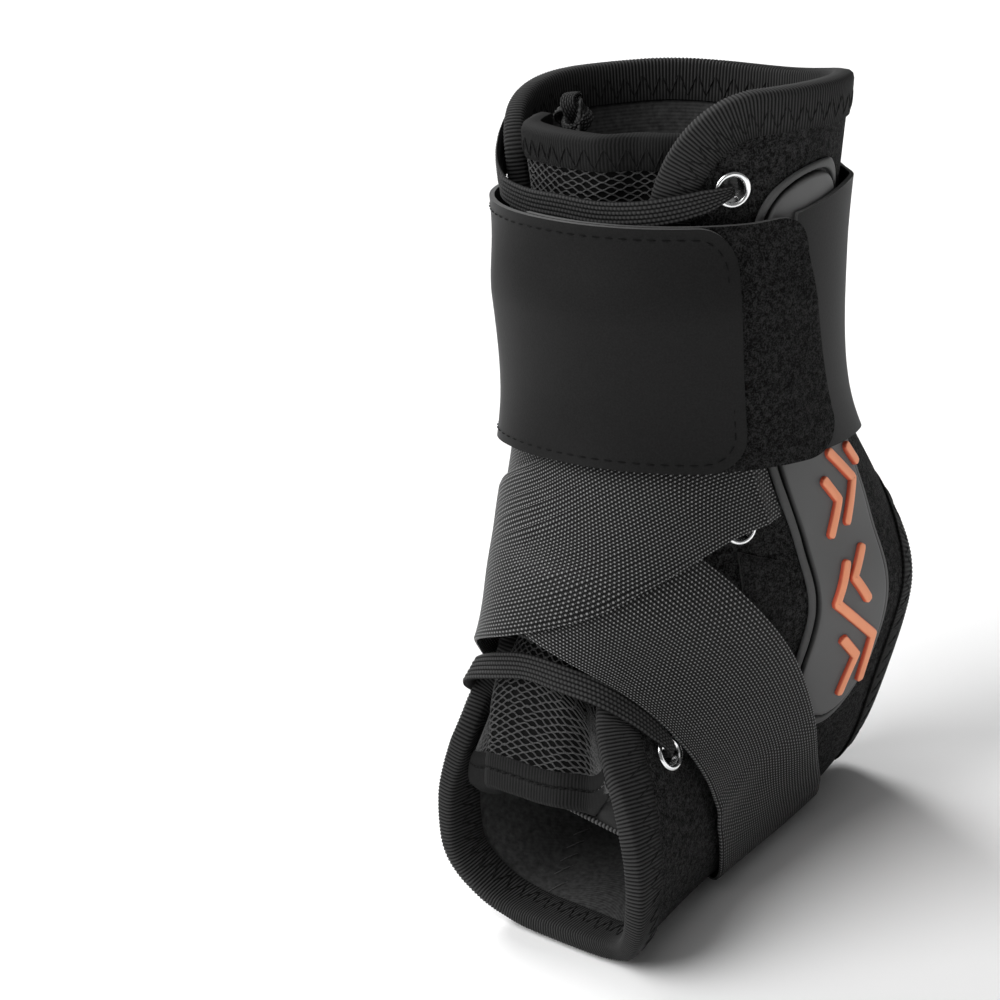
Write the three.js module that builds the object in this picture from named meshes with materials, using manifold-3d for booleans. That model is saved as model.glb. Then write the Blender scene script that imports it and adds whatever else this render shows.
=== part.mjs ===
// Lace-up ankle brace: a padded open-heel shell laced over a tongue, two straps that cross over the
// instep, two moulded side stays and a hook-and-loop cuff. Millimetres, +Z up, toes to -Y, and the
// outer side of the foot to +X. The brace stands empty on its sole.

import * as THREE from 'three';
import { mergeVertices } from 'three/addons/utils/BufferGeometryUtils.js';
import Module from 'manifold-3d';

const wasm = await Module();
wasm.setup();

// Driving dimensions
const LEG_LEAN = 14;
const ANKLE = new THREE.Vector2(62, 76);
const SHELL_WALL = 4;
const GAP = 0.3;
const TRIM_GAP = 0.6;
const SOLE_LIFT = 2.2;
const FRONT_SQUARE = 2.1;
const WALK_STEP = 5;
const LINE_SCALE = 30;
const BINDING = { reach: 8.5, out: 1.3, past: 1.6, lift: 0.2, clear: 0.3, nose: 0.4, turn: 1.1 };
const LACE = { width: 7.2, bunched: 2.4, thick: 1, gathered: 1.5, over: 2.65, under: -5.8, slack: -0.6 };
const EYELET = { bore: 3, barrel: 3.6, flange: 5.6, crest: 3.3, hole: 4.4, angle: 65, seat: 0.6, proud: 1.3 };
const STRAP = { half: 22, thick: 1, hem: 0.8, hemShare: 0.965, trim: 3.9, crossing: 1.8, side: 2, sole: 1.1 };
const STAY = { half: 17, thick: 2.6, edge: 1.2, gap: 0.45 };
const CHEVRON = { half: 1.25, thick: 0.8, gap: 0.4, start: 0.46, piece: 6 };
const CUFF = { top: 0.66, rise: 0.14, bottom: 2.34, corner: new THREE.Vector2(13, 0.28) };
const LACING_EDGE = 36;
const HEEL_HOLE = { station: 4.15, stations: 1.1, degrees: 49 };
const ORIGIN = new THREE.Vector3(0.1, 56.19, 0);

// The brace's surface: cross-sections from the leg's rim (station 0) to the toes (station 8).
// Each section is an oval from a front point to a back or sole point, given as forward and up.
const up = new THREE.Vector2(-Math.sin(rad(LEG_LEAN)), Math.cos(rad(LEG_LEAN)));
const ahead = new THREE.Vector2(up.y, -up.x);

function legSection(height, front, back, half) {
  const centre = ANKLE.clone().addScaledVector(up, height);
  const a = centre.clone().addScaledVector(ahead, front);
  const b = centre.clone().addScaledVector(ahead, -back);
  const oval = { half, mid: 0.5, square: FRONT_SQUARE, egg: 0, aside: 0 };
  return { frontF: a.x, frontZ: a.y, backF: b.x, backZ: b.y, ...oval };
}

const SECTIONS = [
  legSection(150, 46, 46, 47),
  legSection(105, 42, 42, 43),
  legSection(65, 38.5, 46, 40.5),
  legSection(30, 46, 67, 43),
  { frontF: 106, frontZ: 106, backF: -15, backZ: 55, half: 44, mid: 0.5, square: 2.2, egg: 0, aside: 0 },
  { frontF: 111, frontZ: 97, backF: 2, backZ: 14, half: 35, mid: 0.52, square: 2.0, egg: 0.16, aside: -2 },
  { frontF: 114.5, frontZ: 89, backF: 42, backZ: -7, half: 31, mid: 0.54, square: 1.85, egg: 0.24, aside: -3.5 },
  { frontF: 117, frontZ: 82, backF: 84, backZ: -7, half: 36, mid: 0.54, square: 1.95, egg: 0.18, aside: -3.5 },
  { frontF: 119, frontZ: 76, backF: 126, backZ: -5, half: 40, mid: 0.54, square: 2.1, egg: 0.02, aside: -1 },
];
const LAST = SECTIONS.length - 1;

const rail = (x, y, z) => new THREE.CatmullRomCurve3(
  SECTIONS.map((s) => new THREE.Vector3(s[x], s[y], s[z])), false, 'catmullrom', 0.5);
const frontRail = rail('frontF', 'frontZ', 'half');
const backRail = rail('backF', 'backZ', 'mid');
const shapeRail = rail('square', 'egg', 'aside');

function rad(degrees) {
  return THREE.MathUtils.degToRad(degrees);
}

const smooth = THREE.MathUtils.smoothstep;
const mix = THREE.MathUtils.lerp;

function ovalPoint(station, angle) {
  const front = frontRail.getPoint(station / LAST);
  const back = backRail.getPoint(station / LAST);
  const { x: square, y: egg, z: aside } = shapeRail.getPoint(station / LAST);
  const power = 2 / (Math.cos(angle) < 0 ? square : FRONT_SQUARE);
  const c = Math.sign(Math.cos(angle)) * Math.abs(Math.cos(angle)) ** power;
  const s = Math.sign(Math.sin(angle)) * Math.abs(Math.sin(angle)) ** power;
  const along = 1 - back.z + (c > 0 ? back.z : 1 - back.z) * c;
  const f = mix(back.x, front.x, along);
  const z = mix(back.y, front.y, along);
  return new THREE.Vector3(aside + front.z * s * (1 + egg * c), -f, z);
}

// A point on the bare surface; degrees run from the front (0) over the outer side (90) to the back.
function bare(station, degrees) {
  const inside = THREE.MathUtils.clamp(station, 0, LAST);
  const point = ovalPoint(inside, rad(degrees));
  if (station === inside) return point;
  const back = 0.05;
  const before = ovalPoint(inside - Math.sign(station - inside) * back, rad(degrees));
  return point.clone().lerp(before, -Math.abs(station - inside) / back);
}

function slopes(station, degrees) {
  const h = 0.02;
  const d = 1;
  const byStation = bare(station + h, degrees).sub(bare(station - h, degrees)).divideScalar(2 * h);
  const byDegree = bare(station, degrees + d).sub(bare(station, degrees - d)).divideScalar(2 * d);
  const normal = byStation.clone().cross(byDegree).normalize();
  return { byStation, byDegree, normal };
}

// A point at an outward offset from the shell's outer face. The sole is pressed flat on the floor.
function skin(station, degrees, offset) {
  const point = bare(station, degrees).addScaledVector(slopes(station, degrees).normal, offset);
  point.z = Math.max(point.z, SOLE_LIFT - offset, 0);
  return point;
}

// Station and degree steps for one millimetre along a direction that lies in the surface.
function stepAlong(station, degrees, direction) {
  const { byStation: a, byDegree: b } = slopes(station, degrees);
  const aa = a.dot(a);
  const ab = a.dot(b);
  const bb = b.dot(b);
  const det = aa * bb - ab * ab;
  const da = direction.dot(a);
  const db = direction.dot(b);
  return new THREE.Vector2((da * bb - db * ab) / det, (db * aa - da * ab) / det);
}

// Walks over the surface from a place (station, degrees), straight ahead in short steps.
function walk(place, direction, distance) {
  const steps = Math.ceil(Math.abs(distance) / WALK_STEP);
  const heading = direction.clone();
  const at = place.clone();
  for (let k = 0; k < steps; k++) {
    const { normal } = slopes(at.x, at.y);
    heading.addScaledVector(normal, -heading.dot(normal)).normalize();
    at.addScaledVector(stepAlong(at.x, at.y, heading), distance / steps);
  }
  return at;
}

// A closed solid from two faces of a ribbon. at(i, j, face) gives the point at step i along the ribbon
// and place j across it, on its upper (1) or under (0) face. A looped ribbon has no ends.
function ribbon(steps, across, at, looped = false) {
  const ring = 2 * (across + 1);
  const rows = looped ? steps : steps + 1;
  const position = [];
  for (let i = 0; i < rows; i++) {
    for (let k = 0; k < ring; k++) {
      const p = k <= across ? at(i, k, 1) : at(i, ring - 1 - k, 0);
      position.push(p.x, p.y, p.z);
    }
  }
  const index = [];
  const corner = (n) => new THREE.Vector3().fromArray(position, 3 * n);
  const quad = (a, b, c, d) => {
    const shorter = corner(a).distanceTo(corner(c)) < corner(b).distanceTo(corner(d));
    index.push(...(shorter ? [a, b, c, a, c, d] : [b, c, d, b, d, a]));
  };
  for (let i = 0; i < steps; i++) {
    const here = i * ring;
    const next = ((i + 1) % rows) * ring;
    for (let k = 0; k < ring; k++) {
      const l = (k + 1) % ring;
      quad(here + k, here + l, next + l, next + k);
    }
  }
  if (!looped) {
    const end = steps * ring;
    for (let k = 0; k < across; k++) {
      quad(ring - 1 - k, ring - 2 - k, k + 1, k);
      quad(end + k, end + k + 1, end + ring - 2 - k, end + ring - 1 - k);
    }
  }
  return facingOut(position, index);
}

function facingOut(position, index) {
  let volume = 0;
  const corner = (n) => new THREE.Vector3().fromArray(position, 3 * index[n]);
  for (let n = 0; n < index.length; n += 3) {
    volume += corner(n).dot(corner(n + 1).cross(corner(n + 2)));
  }
  const geometry = new THREE.BufferGeometry();
  geometry.setAttribute('position', new THREE.Float32BufferAttribute(position, 3));
  geometry.setIndex(volume > 0 ? index : index.reverse());
  return geometry;
}

function toSolid(geometry) {
  const plain = geometry.clone();
  plain.deleteAttribute('normal');
  plain.deleteAttribute('uv');
  const merged = mergeVertices(plain, 1e-4);
  return new wasm.Manifold(new wasm.Mesh({
    numProp: 3,
    vertProperties: new Float32Array(merged.attributes.position.array),
    triVerts: new Uint32Array(merged.index.array),
  }));
}

function fromSolid(solid) {
  const mesh = solid.getMesh();
  const geometry = new THREE.BufferGeometry();
  geometry.setAttribute('position', new THREE.Float32BufferAttribute(mesh.vertProperties, 3));
  geometry.setIndex(Array.from(mesh.triVerts));
  return geometry;
}

// Materials
const cloth = (color, roughness) => new THREE.MeshStandardMaterial({ color, roughness, metalness: 0 });
const SHELL_CLOTH = cloth('#161616', 0.95);
const TAPE = cloth('#1d1d1d', 0.9);
const MESH_CLOTH = cloth('#1a1a1a', 0.9);
const LACE_CLOTH = cloth('#222222', 0.85);
const STRAP_CLOTH = cloth('#333333', 0.7);
const BAND_CLOTH = cloth('#2b2b2b', 0.8);
const LOOP_CLOTH = cloth('#141414', 1.0);
const STAY_RUBBER = cloth('#4a4a4a', 0.6);
const CHEVRON_RUBBER = cloth('#ff8658', 0.5);
const EYELET_METAL = new THREE.MeshStandardMaterial({ color: '#d8dadb', roughness: 0.2, metalness: 1 });

const brace = new THREE.Group();
brace.position.copy(ORIGIN);

function addPart(name, geometry, material) {
  const mesh = new THREE.Mesh(geometry, material);
  mesh.name = name;
  brace.add(mesh);
}

// Shell outline: the rim sweeps down to the lacing edges, and the toe corners are rounded.
const OUTER_SWEEP = { end: 75, drop: 0.8 };
const INNER_SWEEP = { end: 96, drop: 0.42 };
const RIM = { dip: 0.06, back: 125, tilt: 0.06 };
const TOE_CORNER = { degrees: 14, stations: 1.1, bulge: 0.2 };
const TOE_SPREAD = { degrees: 11, from: 4.5, to: 7.5 };
const TOP_SPREAD = { degrees: 8, from: 1.3, to: 2.3 };

const fromFront = (degrees) => Math.min(degrees, 360 - degrees);

function quarterRound(distance, radius) {
  const x = THREE.MathUtils.clamp(1 - distance / radius, 0, 1);
  return 1 - Math.sqrt(1 - x * x);
}

function rimStation(degrees) {
  const d = fromFront(degrees);
  const { end, drop } = degrees < 180 ? OUTER_SWEEP : INNER_SWEEP;
  const sweep = drop * quarterRound(d - LACING_EDGE, end - LACING_EDGE);
  return sweep + RIM.dip * smooth(d, RIM.back, 180) - RIM.tilt * Math.sin(rad(degrees));
}

function toeStation(degrees) {
  const d = fromFront(degrees);
  const bulge = TOE_CORNER.bulge * smooth(d, LACING_EDGE, 75) * (1 - smooth(d, 95, 150));
  return LAST + bulge - TOE_CORNER.stations * quarterRound(d - LACING_EDGE, TOE_CORNER.degrees);
}

// Towards the toes, and a little at the top, the inner flap is spread away from the tongue.
function spread(station, degrees) {
  const toe = TOE_SPREAD.degrees * smooth(station, TOE_SPREAD.from, TOE_SPREAD.to);
  const top = TOP_SPREAD.degrees * (1 - smooth(station, TOP_SPREAD.from, TOP_SPREAD.to));
  return degrees - (toe + top) * smooth(degrees, 230, 360 - LACING_EDGE);
}

// Column angles of the shell, closer together along the swept rim than round the back.
const half = [];
for (let k = 0; k < 6; k++) half.push(mix(LACING_EDGE, OUTER_SWEEP.end, k / 6));
for (let k = 0; k < 10; k++) half.push(mix(OUTER_SWEEP.end, 180, k / 10));
const COLUMNS = [...half, 180, ...half.map((d) => 360 - d).reverse()];
const SHELL_ROWS = 22;
const ANKLE_ROWS = { first: 5, last: 18, from: 2.4, to: 6.1 };

// The rows lie closer together round the ankle and heel than along the leg and the toes.
function shellStation(degrees, j) {
  const { first, last, from, to } = ANKLE_ROWS;
  if (j < first) return mix(rimStation(degrees), from, j / first);
  if (j <= last) return mix(from, to, (j - first) / (last - first));
  return mix(to, toeStation(degrees), (j - last) / (SHELL_ROWS - last));
}

function shellBlank() {
  return ribbon(COLUMNS.length - 1, SHELL_ROWS, (i, j, face) => {
    const station = shellStation(COLUMNS[i], j);
    return skin(station, spread(station, COLUMNS[i]), face ? 0 : -SHELL_WALL);
  });
}

// The heel hole is an ellipse on the surface, and its plug reaches through the wall.
const HEEL_STEPS = 32;
const HEEL_LINING = 2;
const HEEL_SLACK = 0.98;
const PLUG_REACH = 6;
function heelEdge(i, share = 1) {
  const a = (2 * Math.PI * i) / HEEL_STEPS;
  const station = HEEL_HOLE.station + share * HEEL_HOLE.stations * Math.cos(a);
  return new THREE.Vector2(station, 180 + share * HEEL_HOLE.degrees * Math.sin(a));
}

function heelPlug() {
  const layers = [-SHELL_WALL - PLUG_REACH, PLUG_REACH];
  const position = [];
  const index = [];
  for (const offset of layers) {
    for (let i = 0; i < HEEL_STEPS; i++) {
      const edge = heelEdge(i);
      position.push(...skin(edge.x, edge.y, offset).toArray());
    }
    position.push(...skin(HEEL_HOLE.station, 180, offset * 2).toArray());
  }
  const layer = HEEL_STEPS + 1;
  for (let i = 0; i < HEEL_STEPS; i++) {
    const next = (i + 1) % HEEL_STEPS;
    index.push(i, next, layer + next, i, layer + next, layer + i);
    index.push(HEEL_STEPS, next, i, layer + HEEL_STEPS, layer + i, layer + next);
  }
  return facingOut(position, index);
}

// Eyelets sit in pairs along the two front edges.
const EYELET_STATIONS = [0.47, 1.2, 1.97, 2.82, 5.4, 6.5];
const EYELET_SIDES = 8;
const HOLE_SIDES = 6;

function placeOnSkin(geometry, station, degrees) {
  const normal = slopes(station, degrees).normal;
  const turn = new THREE.Quaternion().setFromUnitVectors(new THREE.Vector3(0, 1, 0), normal);
  const at = skin(station, degrees, 0);
  return geometry.applyQuaternion(turn).translate(at.x, at.y, at.z);
}

function eyelet(station, degrees) {
  const profile = [
    [EYELET.bore, -SHELL_WALL],
    [EYELET.barrel, -SHELL_WALL],
    [EYELET.barrel, EYELET.seat],
    [EYELET.flange, EYELET.seat],
    [EYELET.crest, EYELET.proud],
  ].map(([r, y]) => new THREE.Vector2(r, y));
  const ring = new THREE.LatheGeometry([...profile, profile[0]], EYELET_SIDES);
  return fromSolid(toSolid(placeOnSkin(ring, station, degrees)));
}

function eyeletHole(station, degrees) {
  const drill = new THREE.CylinderGeometry(EYELET.hole, EYELET.hole, 4 * SHELL_WALL, HOLE_SIDES);
  return placeOnSkin(drill, station, degrees);
}

function shell() {
  let solid = toSolid(shellBlank()).subtract(toSolid(heelPlug()));
  for (const station of EYELET_STATIONS) {
    for (const side of [1, -1]) {
      solid = solid.subtract(toSolid(eyeletHole(station, side * EYELET.angle)));
    }
  }
  return fromSolid(solid);
}

// Binding tape folded round an edge: a U section from the outer face round to the inner face, given as
// distance from the edge and offset. path(i) gives station and degrees along the looped edge.
function binding(steps, path, lining = TRIM_GAP) {
  const { reach, out, past, lift, clear, nose, turn } = BINDING;
  const under = -SHELL_WALL - lining;
  const inner = under + TRIM_GAP - out;
  const outside = [[reach, out + lift], [0, out], [-past, nose],
    [-past, inner + turn], [0, inner], [reach, inner]];
  const inside = [[reach, TRIM_GAP + clear], [0, TRIM_GAP], [-TRIM_GAP, TRIM_GAP],
    [-TRIM_GAP, under], [0, under], [reach, under]];
  const frames = [];
  for (let i = 0; i < steps; i++) {
    const here = path(i);
    const before = path((i + steps - 1) % steps);
    const after = path((i + 1) % steps);
    const tangent = bare(after.x, after.y).sub(bare(before.x, before.y)).normalize();
    const inward = slopes(here.x, here.y).normal.cross(tangent);
    frames.push({ here, inward });
  }
  return ribbon(steps, outside.length - 1, (i, j, face) => {
    const [distance, offset] = (face ? outside : inside)[j];
    const place = walk(frames[i].here, frames[i].inward, distance);
    return skin(place.x, place.y, offset);
  }, true);
}

// The shell's edge, corner to corner: rim, inner lacing edge, toe edge, outer lacing edge.
function shellEdge() {
  const edge = [];
  const last = COLUMNS.length - 1;
  for (let i = 0; i <= last; i++) edge.push([rimStation(COLUMNS[i]), COLUMNS[i]]);
  for (let j = 1; j < SHELL_ROWS; j++) edge.push([shellStation(COLUMNS[last], j), COLUMNS[last]]);
  for (let i = last; i >= 0; i--) edge.push([toeStation(COLUMNS[i]), COLUMNS[i]]);
  for (let j = SHELL_ROWS - 1; j > 0; j--) edge.push([shellStation(COLUMNS[0], j), COLUMNS[0]]);
  return edge.map(([station, degrees]) => new THREE.Vector2(station, spread(station, degrees))).reverse();
}

// A smooth line over the surface through station and degree points, from share 0 to 1.
function lineOnSkin(points) {
  const curve = new THREE.CatmullRomCurve3(points.map(([s, d]) => new THREE.Vector3(s, d / LINE_SCALE, 0)));
  return (share) => {
    const p = curve.getPoint(THREE.MathUtils.clamp(share, 0, 1));
    return new THREE.Vector2(p.x, p.y * LINE_SCALE);
  };
}

// A strip laid on the surface along such a line.
function strip(line, steps, across, width, offsets) {
  const at = lineOnSkin(line);
  const frames = [];
  for (let i = 0; i <= steps; i++) {
    const here = at(i / steps);
    const a = at((i - 0.5) / steps);
    const b = at((i + 0.5) / steps);
    const tangent = bare(b.x, b.y).sub(bare(a.x, a.y)).normalize();
    const sideways = tangent.cross(slopes(here.x, here.y).normal);
    frames.push({ here, sideways });
  }
  return ribbon(steps, across, (i, j, face) => {
    const v = (2 * j) / across - 1;
    const place = walk(frames[i].here, frames[i].sideways, v * width(i / steps));
    return skin(place.x, place.y, offsets(place.x, place.y, i / steps, v)[face]);
  });
}

// Straps: from under the sole, up one side, over the instep to the other side of the leg.
// They lie over the trim, then on the bare cloth below the stay, and are flat under the sole.
// The inner strap lies over the outer one where they cross. Ranges are in degrees or stations.
const STRAP_SOLE_FROM = 125;
const STRAP_SOLE_TO = 155;
const BELOW_STAY = { from: 5.45, to: 5.95, front: 80, back: 100 };
const CROSSING = { full: 62, none: 78 };
const STRAP_STEPS = 30;
const STRAP_LINE = [[6.2, 157], [6.2, 140], [6.05, 107], [5.4, 76],
  [4.68, 50], [3.22, 0], [2.38, -42], [2.16, -80]];

function strap(side) {
  const line = STRAP_LINE.map(([station, degrees]) => [station, side * degrees]);
  const offsets = (station, degrees, s) => {
    const d = fromFront(Math.abs(degrees));
    const low = smooth(d, STRAP_SOLE_FROM, STRAP_SOLE_TO);
    const { from, to, front, back } = BELOW_STAY;
    const belowStay = smooth(station, from, to) * smooth(d, front, back);
    const onTrim = mix(mix(STRAP.trim, STRAP.side, belowStay), STRAP.sole, low);
    const onOther = side < 0 ? STRAP.crossing * (1 - smooth(d, CROSSING.full, CROSSING.none)) : 0;
    const base = onTrim + onOther;
    const hem = s > STRAP.hemShare ? STRAP.hem : 0;
    return [base, base + mix(STRAP.thick, SOLE_LIFT - STRAP.sole, low) + hem];
  };
  return strip(line, STRAP_STEPS, 4, () => STRAP.half, offsets);
}

// Side stays: a moulded strip down each side, wide at the cuff and rounded at both ends.
const STAY_LINE = [[0.36, 96], [1.1, 94], [1.92, 96], [2.83, 99], [4.03, 101], [5.25, 100]];
const STAY_STEPS = 20;
const STAY_LENGTH = 168;
const STAY_TIP = 0.3;
const STAY_RIM = 0.9;
const roundEnds = (s) => {
  const end = Math.min(s, 1 - s) * STAY_LENGTH;
  return Math.max(STAY_TIP, Math.sqrt(1 - Math.max(0, 1 - end / STAY.half) ** 2));
};

function stay(side) {
  const line = STAY_LINE.map(([station, degrees]) => [station, side * degrees]);
  const width = (s) => STAY.half * roundEnds(s);
  const offsets = (station, degrees, s, v) => [STAY.gap, Math.abs(v) > STAY_RIM ? STAY.edge : STAY.thick];
  return strip(line, STAY_STEPS, 6, width, offsets);
}

// Chevron strokes in millimetres across the stay (to the heel) and down it from the cuff's edge.
const CHEVRONS = [
  [[7.3, 10.2], [8.5, 13]],
  [[-1, 8], [9.5, 18.5], [5, 30]],
  [[-5, 11.5], [2.5, 20], [-4.5, 31]],
  [[9.5, 37], [4, 48], [9.5, 56]],
  [[2, 39], [-4, 50], [9.5, 65], [3.5, 77]],
  [[-5, 60], [2, 67.5], [-3.5, 75]],
];

function stayPoint(side, across, down, offset) {
  const line = lineOnSkin(STAY_LINE);
  const share = CHEVRON.start + down / STAY_LENGTH;
  const here = line(share);
  const next = line(share + 0.01);
  const tangent = bare(next.x, next.y).sub(bare(here.x, here.y)).normalize();
  const sideways = slopes(here.x, here.y).normal.cross(tangent);
  const at = walk(here, sideways, across);
  return skin(at.x, side * at.y, offset);
}

function chevron(side, stroke) {
  const corners = stroke.map(([x, y]) => new THREE.Vector2(x, y));
  const ways = corners.slice(1).map((p, n) => p.clone().sub(corners[n]).normalize());
  const points = [];
  corners.forEach((p, n) => {
    const before = ways[Math.max(n - 1, 0)];
    const after = ways[Math.min(n, ways.length - 1)];
    const along = before.clone().add(after).normalize();
    const reach = CHEVRON.half / along.dot(after);
    points.push({ p, edge: new THREE.Vector2(-along.y, along.x).multiplyScalar(reach) });
    if (n === ways.length) return;
    const pieces = Math.ceil(p.distanceTo(corners[n + 1]) / CHEVRON.piece);
    const edge = new THREE.Vector2(-after.y, after.x).multiplyScalar(CHEVRON.half);
    for (let k = 1; k < pieces; k++) points.push({ p: p.clone().lerp(corners[n + 1], k / pieces), edge });
  });
  return ribbon(points.length - 1, 1, (i, j, face) => {
    const at = points[i].p.clone().addScaledVector(points[i].edge, 2 * j - 1);
    return stayPoint(side, at.x, at.y, STAY.thick + CHEVRON.gap + face * CHEVRON.thick);
  });
}

// Loop patches in front of the stays, running down under the straps.
const PATCH = { front: 64, back: 79, top: 3.07, slant: 0.2, bottom: 4.7, thick: 1 };

function patch(side) {
  const { front, back, top, slant, bottom, thick } = PATCH;
  return ribbon(4, 6, (i, j, face) => {
    const degrees = mix(front, back, i / 4);
    return skin(mix(top + (slant * i) / 4, bottom, j / 6), side * degrees, GAP + face * thick);
  });
}

// Cuff: a band round the back over the stays, a loop panel on the outer side, and a flap that comes
// from the inner side across the front and sticks on the panel. Both have one rounded end.
const CUFF_ROWS = 4;

function cuffPiece(from, to, steps, base, thick, rounded) {
  return ribbon(steps, CUFF_ROWS, (i, j, face) => {
    const degrees = mix(from, to, i / steps);
    const d = fromFront(Math.abs(degrees));
    const corner = rounded ? CUFF.corner.y * quarterRound(Math.abs(degrees - rounded), CUFF.corner.x) : 0;
    const top = CUFF.top - CUFF.rise * smooth(d, 75, 125);
    const station = mix(top + corner, CUFF.bottom - corner, j / CUFF_ROWS);
    const share = (station - top) / (CUFF.bottom - top);
    return skin(station, degrees, base(share, degrees) + face * thick);
  });
}

// Heights of the three cuff layers over the shell; s runs 0 to 1 down the cuff.
const BAND = { base: 0.5, rise: 2.5, thick: 1.2 };
const PANEL = { base: 3.3, rise: 1.6, thick: 1.3 };
const FLAP = { base: 5, rise: 1.9, thick: 1.4 };
const STRAPS_UNDER = 3.8;
const overStay = (d) => smooth(d, 58, 70) * (1 - smooth(d, 124, 142));
const overStraps = (s) => STRAPS_UNDER * smooth(s, 0, 0.35);
const bandBase = (s, degrees) => BAND.base + BAND.rise * overStay(fromFront(degrees));

function panelBase(s, degrees) {
  const straps = overStraps(s);
  return PANEL.base + mix(straps, Math.max(straps, PANEL.rise), smooth(degrees, 78, 92));
}

function flapBase(s, degrees) {
  return FLAP.base + mix(FLAP.rise * smooth(s, 0.2, 0.8), overStraps(s), smooth(degrees, -50, -25));
}

// Tongue: a padded strip behind the lacing gap that hangs on past the toe edge, most in its middle.
// open is 1 where the inner flap is spread: there the crown is wider and lies further to the inner side.
const TONGUE = [
  { station: 0.18, sink: 8, hang: 0, half: 41, crown: 5, open: 1 },
  { station: 1.5, sink: 7.4, hang: 0, half: 36, crown: 3.6, open: 0.5 },
  { station: 3, sink: 7, hang: 0, half: 33, crown: 3.2, open: 0 },
  { station: 5, sink: 7, hang: 0, half: 32, crown: 3.2, open: 0 },
  { station: 6.8, sink: 7.2, hang: 0, half: 33, crown: 4.4, open: 0.6 },
  { station: 7.9, sink: 7.2, hang: 0, half: 38, crown: 5, open: 1 },
  { station: 8, sink: 6.8, hang: 12, half: 40, crown: 5.2, open: 1 },
  { station: 8, sink: 6.4, hang: 30, half: 40, crown: 5, open: 1 },
];
const TONGUE_WALL = 4;
const CROWN_CLOSED = { flat: 8, edge: 27, aside: 0 };
const CROWN_OPEN = { flat: 18, edge: 36, aside: -5 };
const TONGUE_HANG = new THREE.Vector3(0, -0.3, -0.95);
const HANG_LOSS = { inner: 0.8, outer: 0.82 };
const INNER_WIDEN = { share: 0.2, from: 6.9, to: 8 };
const TONGUE_ENDS = { top: 0.006, toe: 0.985 };
const TOP_TAPE = { reach: 0.019, past: 0.006, slack: 0.0018 };
const TOE_TAPE = { reach: 0.06, past: 0.012, slack: 0.005 };
const TONGUE_TAPE_OUT = 1.3;
const TONGUE_STEPS = 14;
const TONGUE_ACROSS = 8;
const acrossTongue = (n) => (2 * n) / TONGUE_ACROSS - 1;
const tongueRail = (x, y, z) => new THREE.CatmullRomCurve3(
  TONGUE.map((r) => new THREE.Vector3(r[x], r[y], r[z])), false, 'catmullrom', 0.5);
const tonguePath = tongueRail('station', 'sink', 'hang');
const tongueForm = tongueRail('half', 'crown', 'open');

// s runs 0 to 1 down the tongue, v across it from -1 to 1; depth 0 is its outer face.
function tonguePoint(s, v, depth) {
  const { x: station, y: sink, z: hang } = tonguePath.getPoint(s);
  const { x: width, y: rise, z: open } = tongueForm.getPoint(s);
  const at = Math.min(station, LAST);
  const widen = v < 0 ? INNER_WIDEN.share * smooth(at, INNER_WIDEN.from, INNER_WIDEN.to) : 0;
  const degrees = (v * width * (1 + widen)) / slopes(at, 0).byDegree.length();
  const from = Math.abs(degrees - mix(CROWN_CLOSED.aside, CROWN_OPEN.aside, open));
  const flat = mix(CROWN_CLOSED.flat, CROWN_OPEN.flat, open);
  const edge = mix(CROWN_CLOSED.edge, CROWN_OPEN.edge, open);
  const crown = rise * (1 - smooth(from, flat, edge));
  const loss = (v < 0 ? HANG_LOSS.inner : HANG_LOSS.outer) * v * v;
  return skin(at, degrees, crown - sink - depth).addScaledVector(TONGUE_HANG, hang * (1 - loss));
}

function tonguePad() {
  return ribbon(TONGUE_STEPS, TONGUE_ACROSS, (i, j, face) => {
    const s = mix(TONGUE_ENDS.top, TONGUE_ENDS.toe, i / TONGUE_STEPS);
    return tonguePoint(s, acrossTongue(j), face ? 0 : TONGUE_WALL);
  });
}

// Tape folded over one end of the tongue; inwards is the direction of the pad along s.
function tongueBinding(end, inwards, { reach, past, slack }) {
  const tip = end - inwards * past;
  const rest = end - inwards * slack;
  const far = end + inwards * reach;
  const back = TONGUE_WALL + TONGUE_TAPE_OUT;
  const under = TONGUE_WALL + TRIM_GAP;
  const outside = [[far, -TONGUE_TAPE_OUT], [end, -TONGUE_TAPE_OUT], [tip, 0],
    [tip, TONGUE_WALL], [end, back], [far, back]];
  const inside = [[far, -TRIM_GAP], [end, -TRIM_GAP], [rest, -TRIM_GAP],
    [rest, under], [end, under], [far, under]];
  return ribbon(TONGUE_ACROSS, outside.length - 1, (i, j, face) => {
    const [s, depth] = (face ? outside : inside)[j];
    return tonguePoint(s, acrossTongue(i), depth);
  });
}

// Lace: straight rungs over the tongue, out of one eyelet and into its pair, then down behind the
// shell to the next pair. Its tail is tucked behind the tongue. Columns: station, degrees, offset, bunching.
// Where the lace stands upright in an eyelet it keeps its last direction across.
const LACE_UPRIGHT = 0.35;
const RUNG_SAG = [0.16, 0, 0, 0, -0.1, 0.2];
const RUNG_LEAN = [0, 0, 0, 0, 0.3, -0.35];
const LACE_TAIL = [[0.3, -14, -15, 0.5], [0.17, -19, -18, 0], [0.2, -30, -19.5, 0], [0.32, -43, -18, 0.3],
  [0.42, -56, -15, 0.7], [0.46, -65, -9, 1]];

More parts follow.
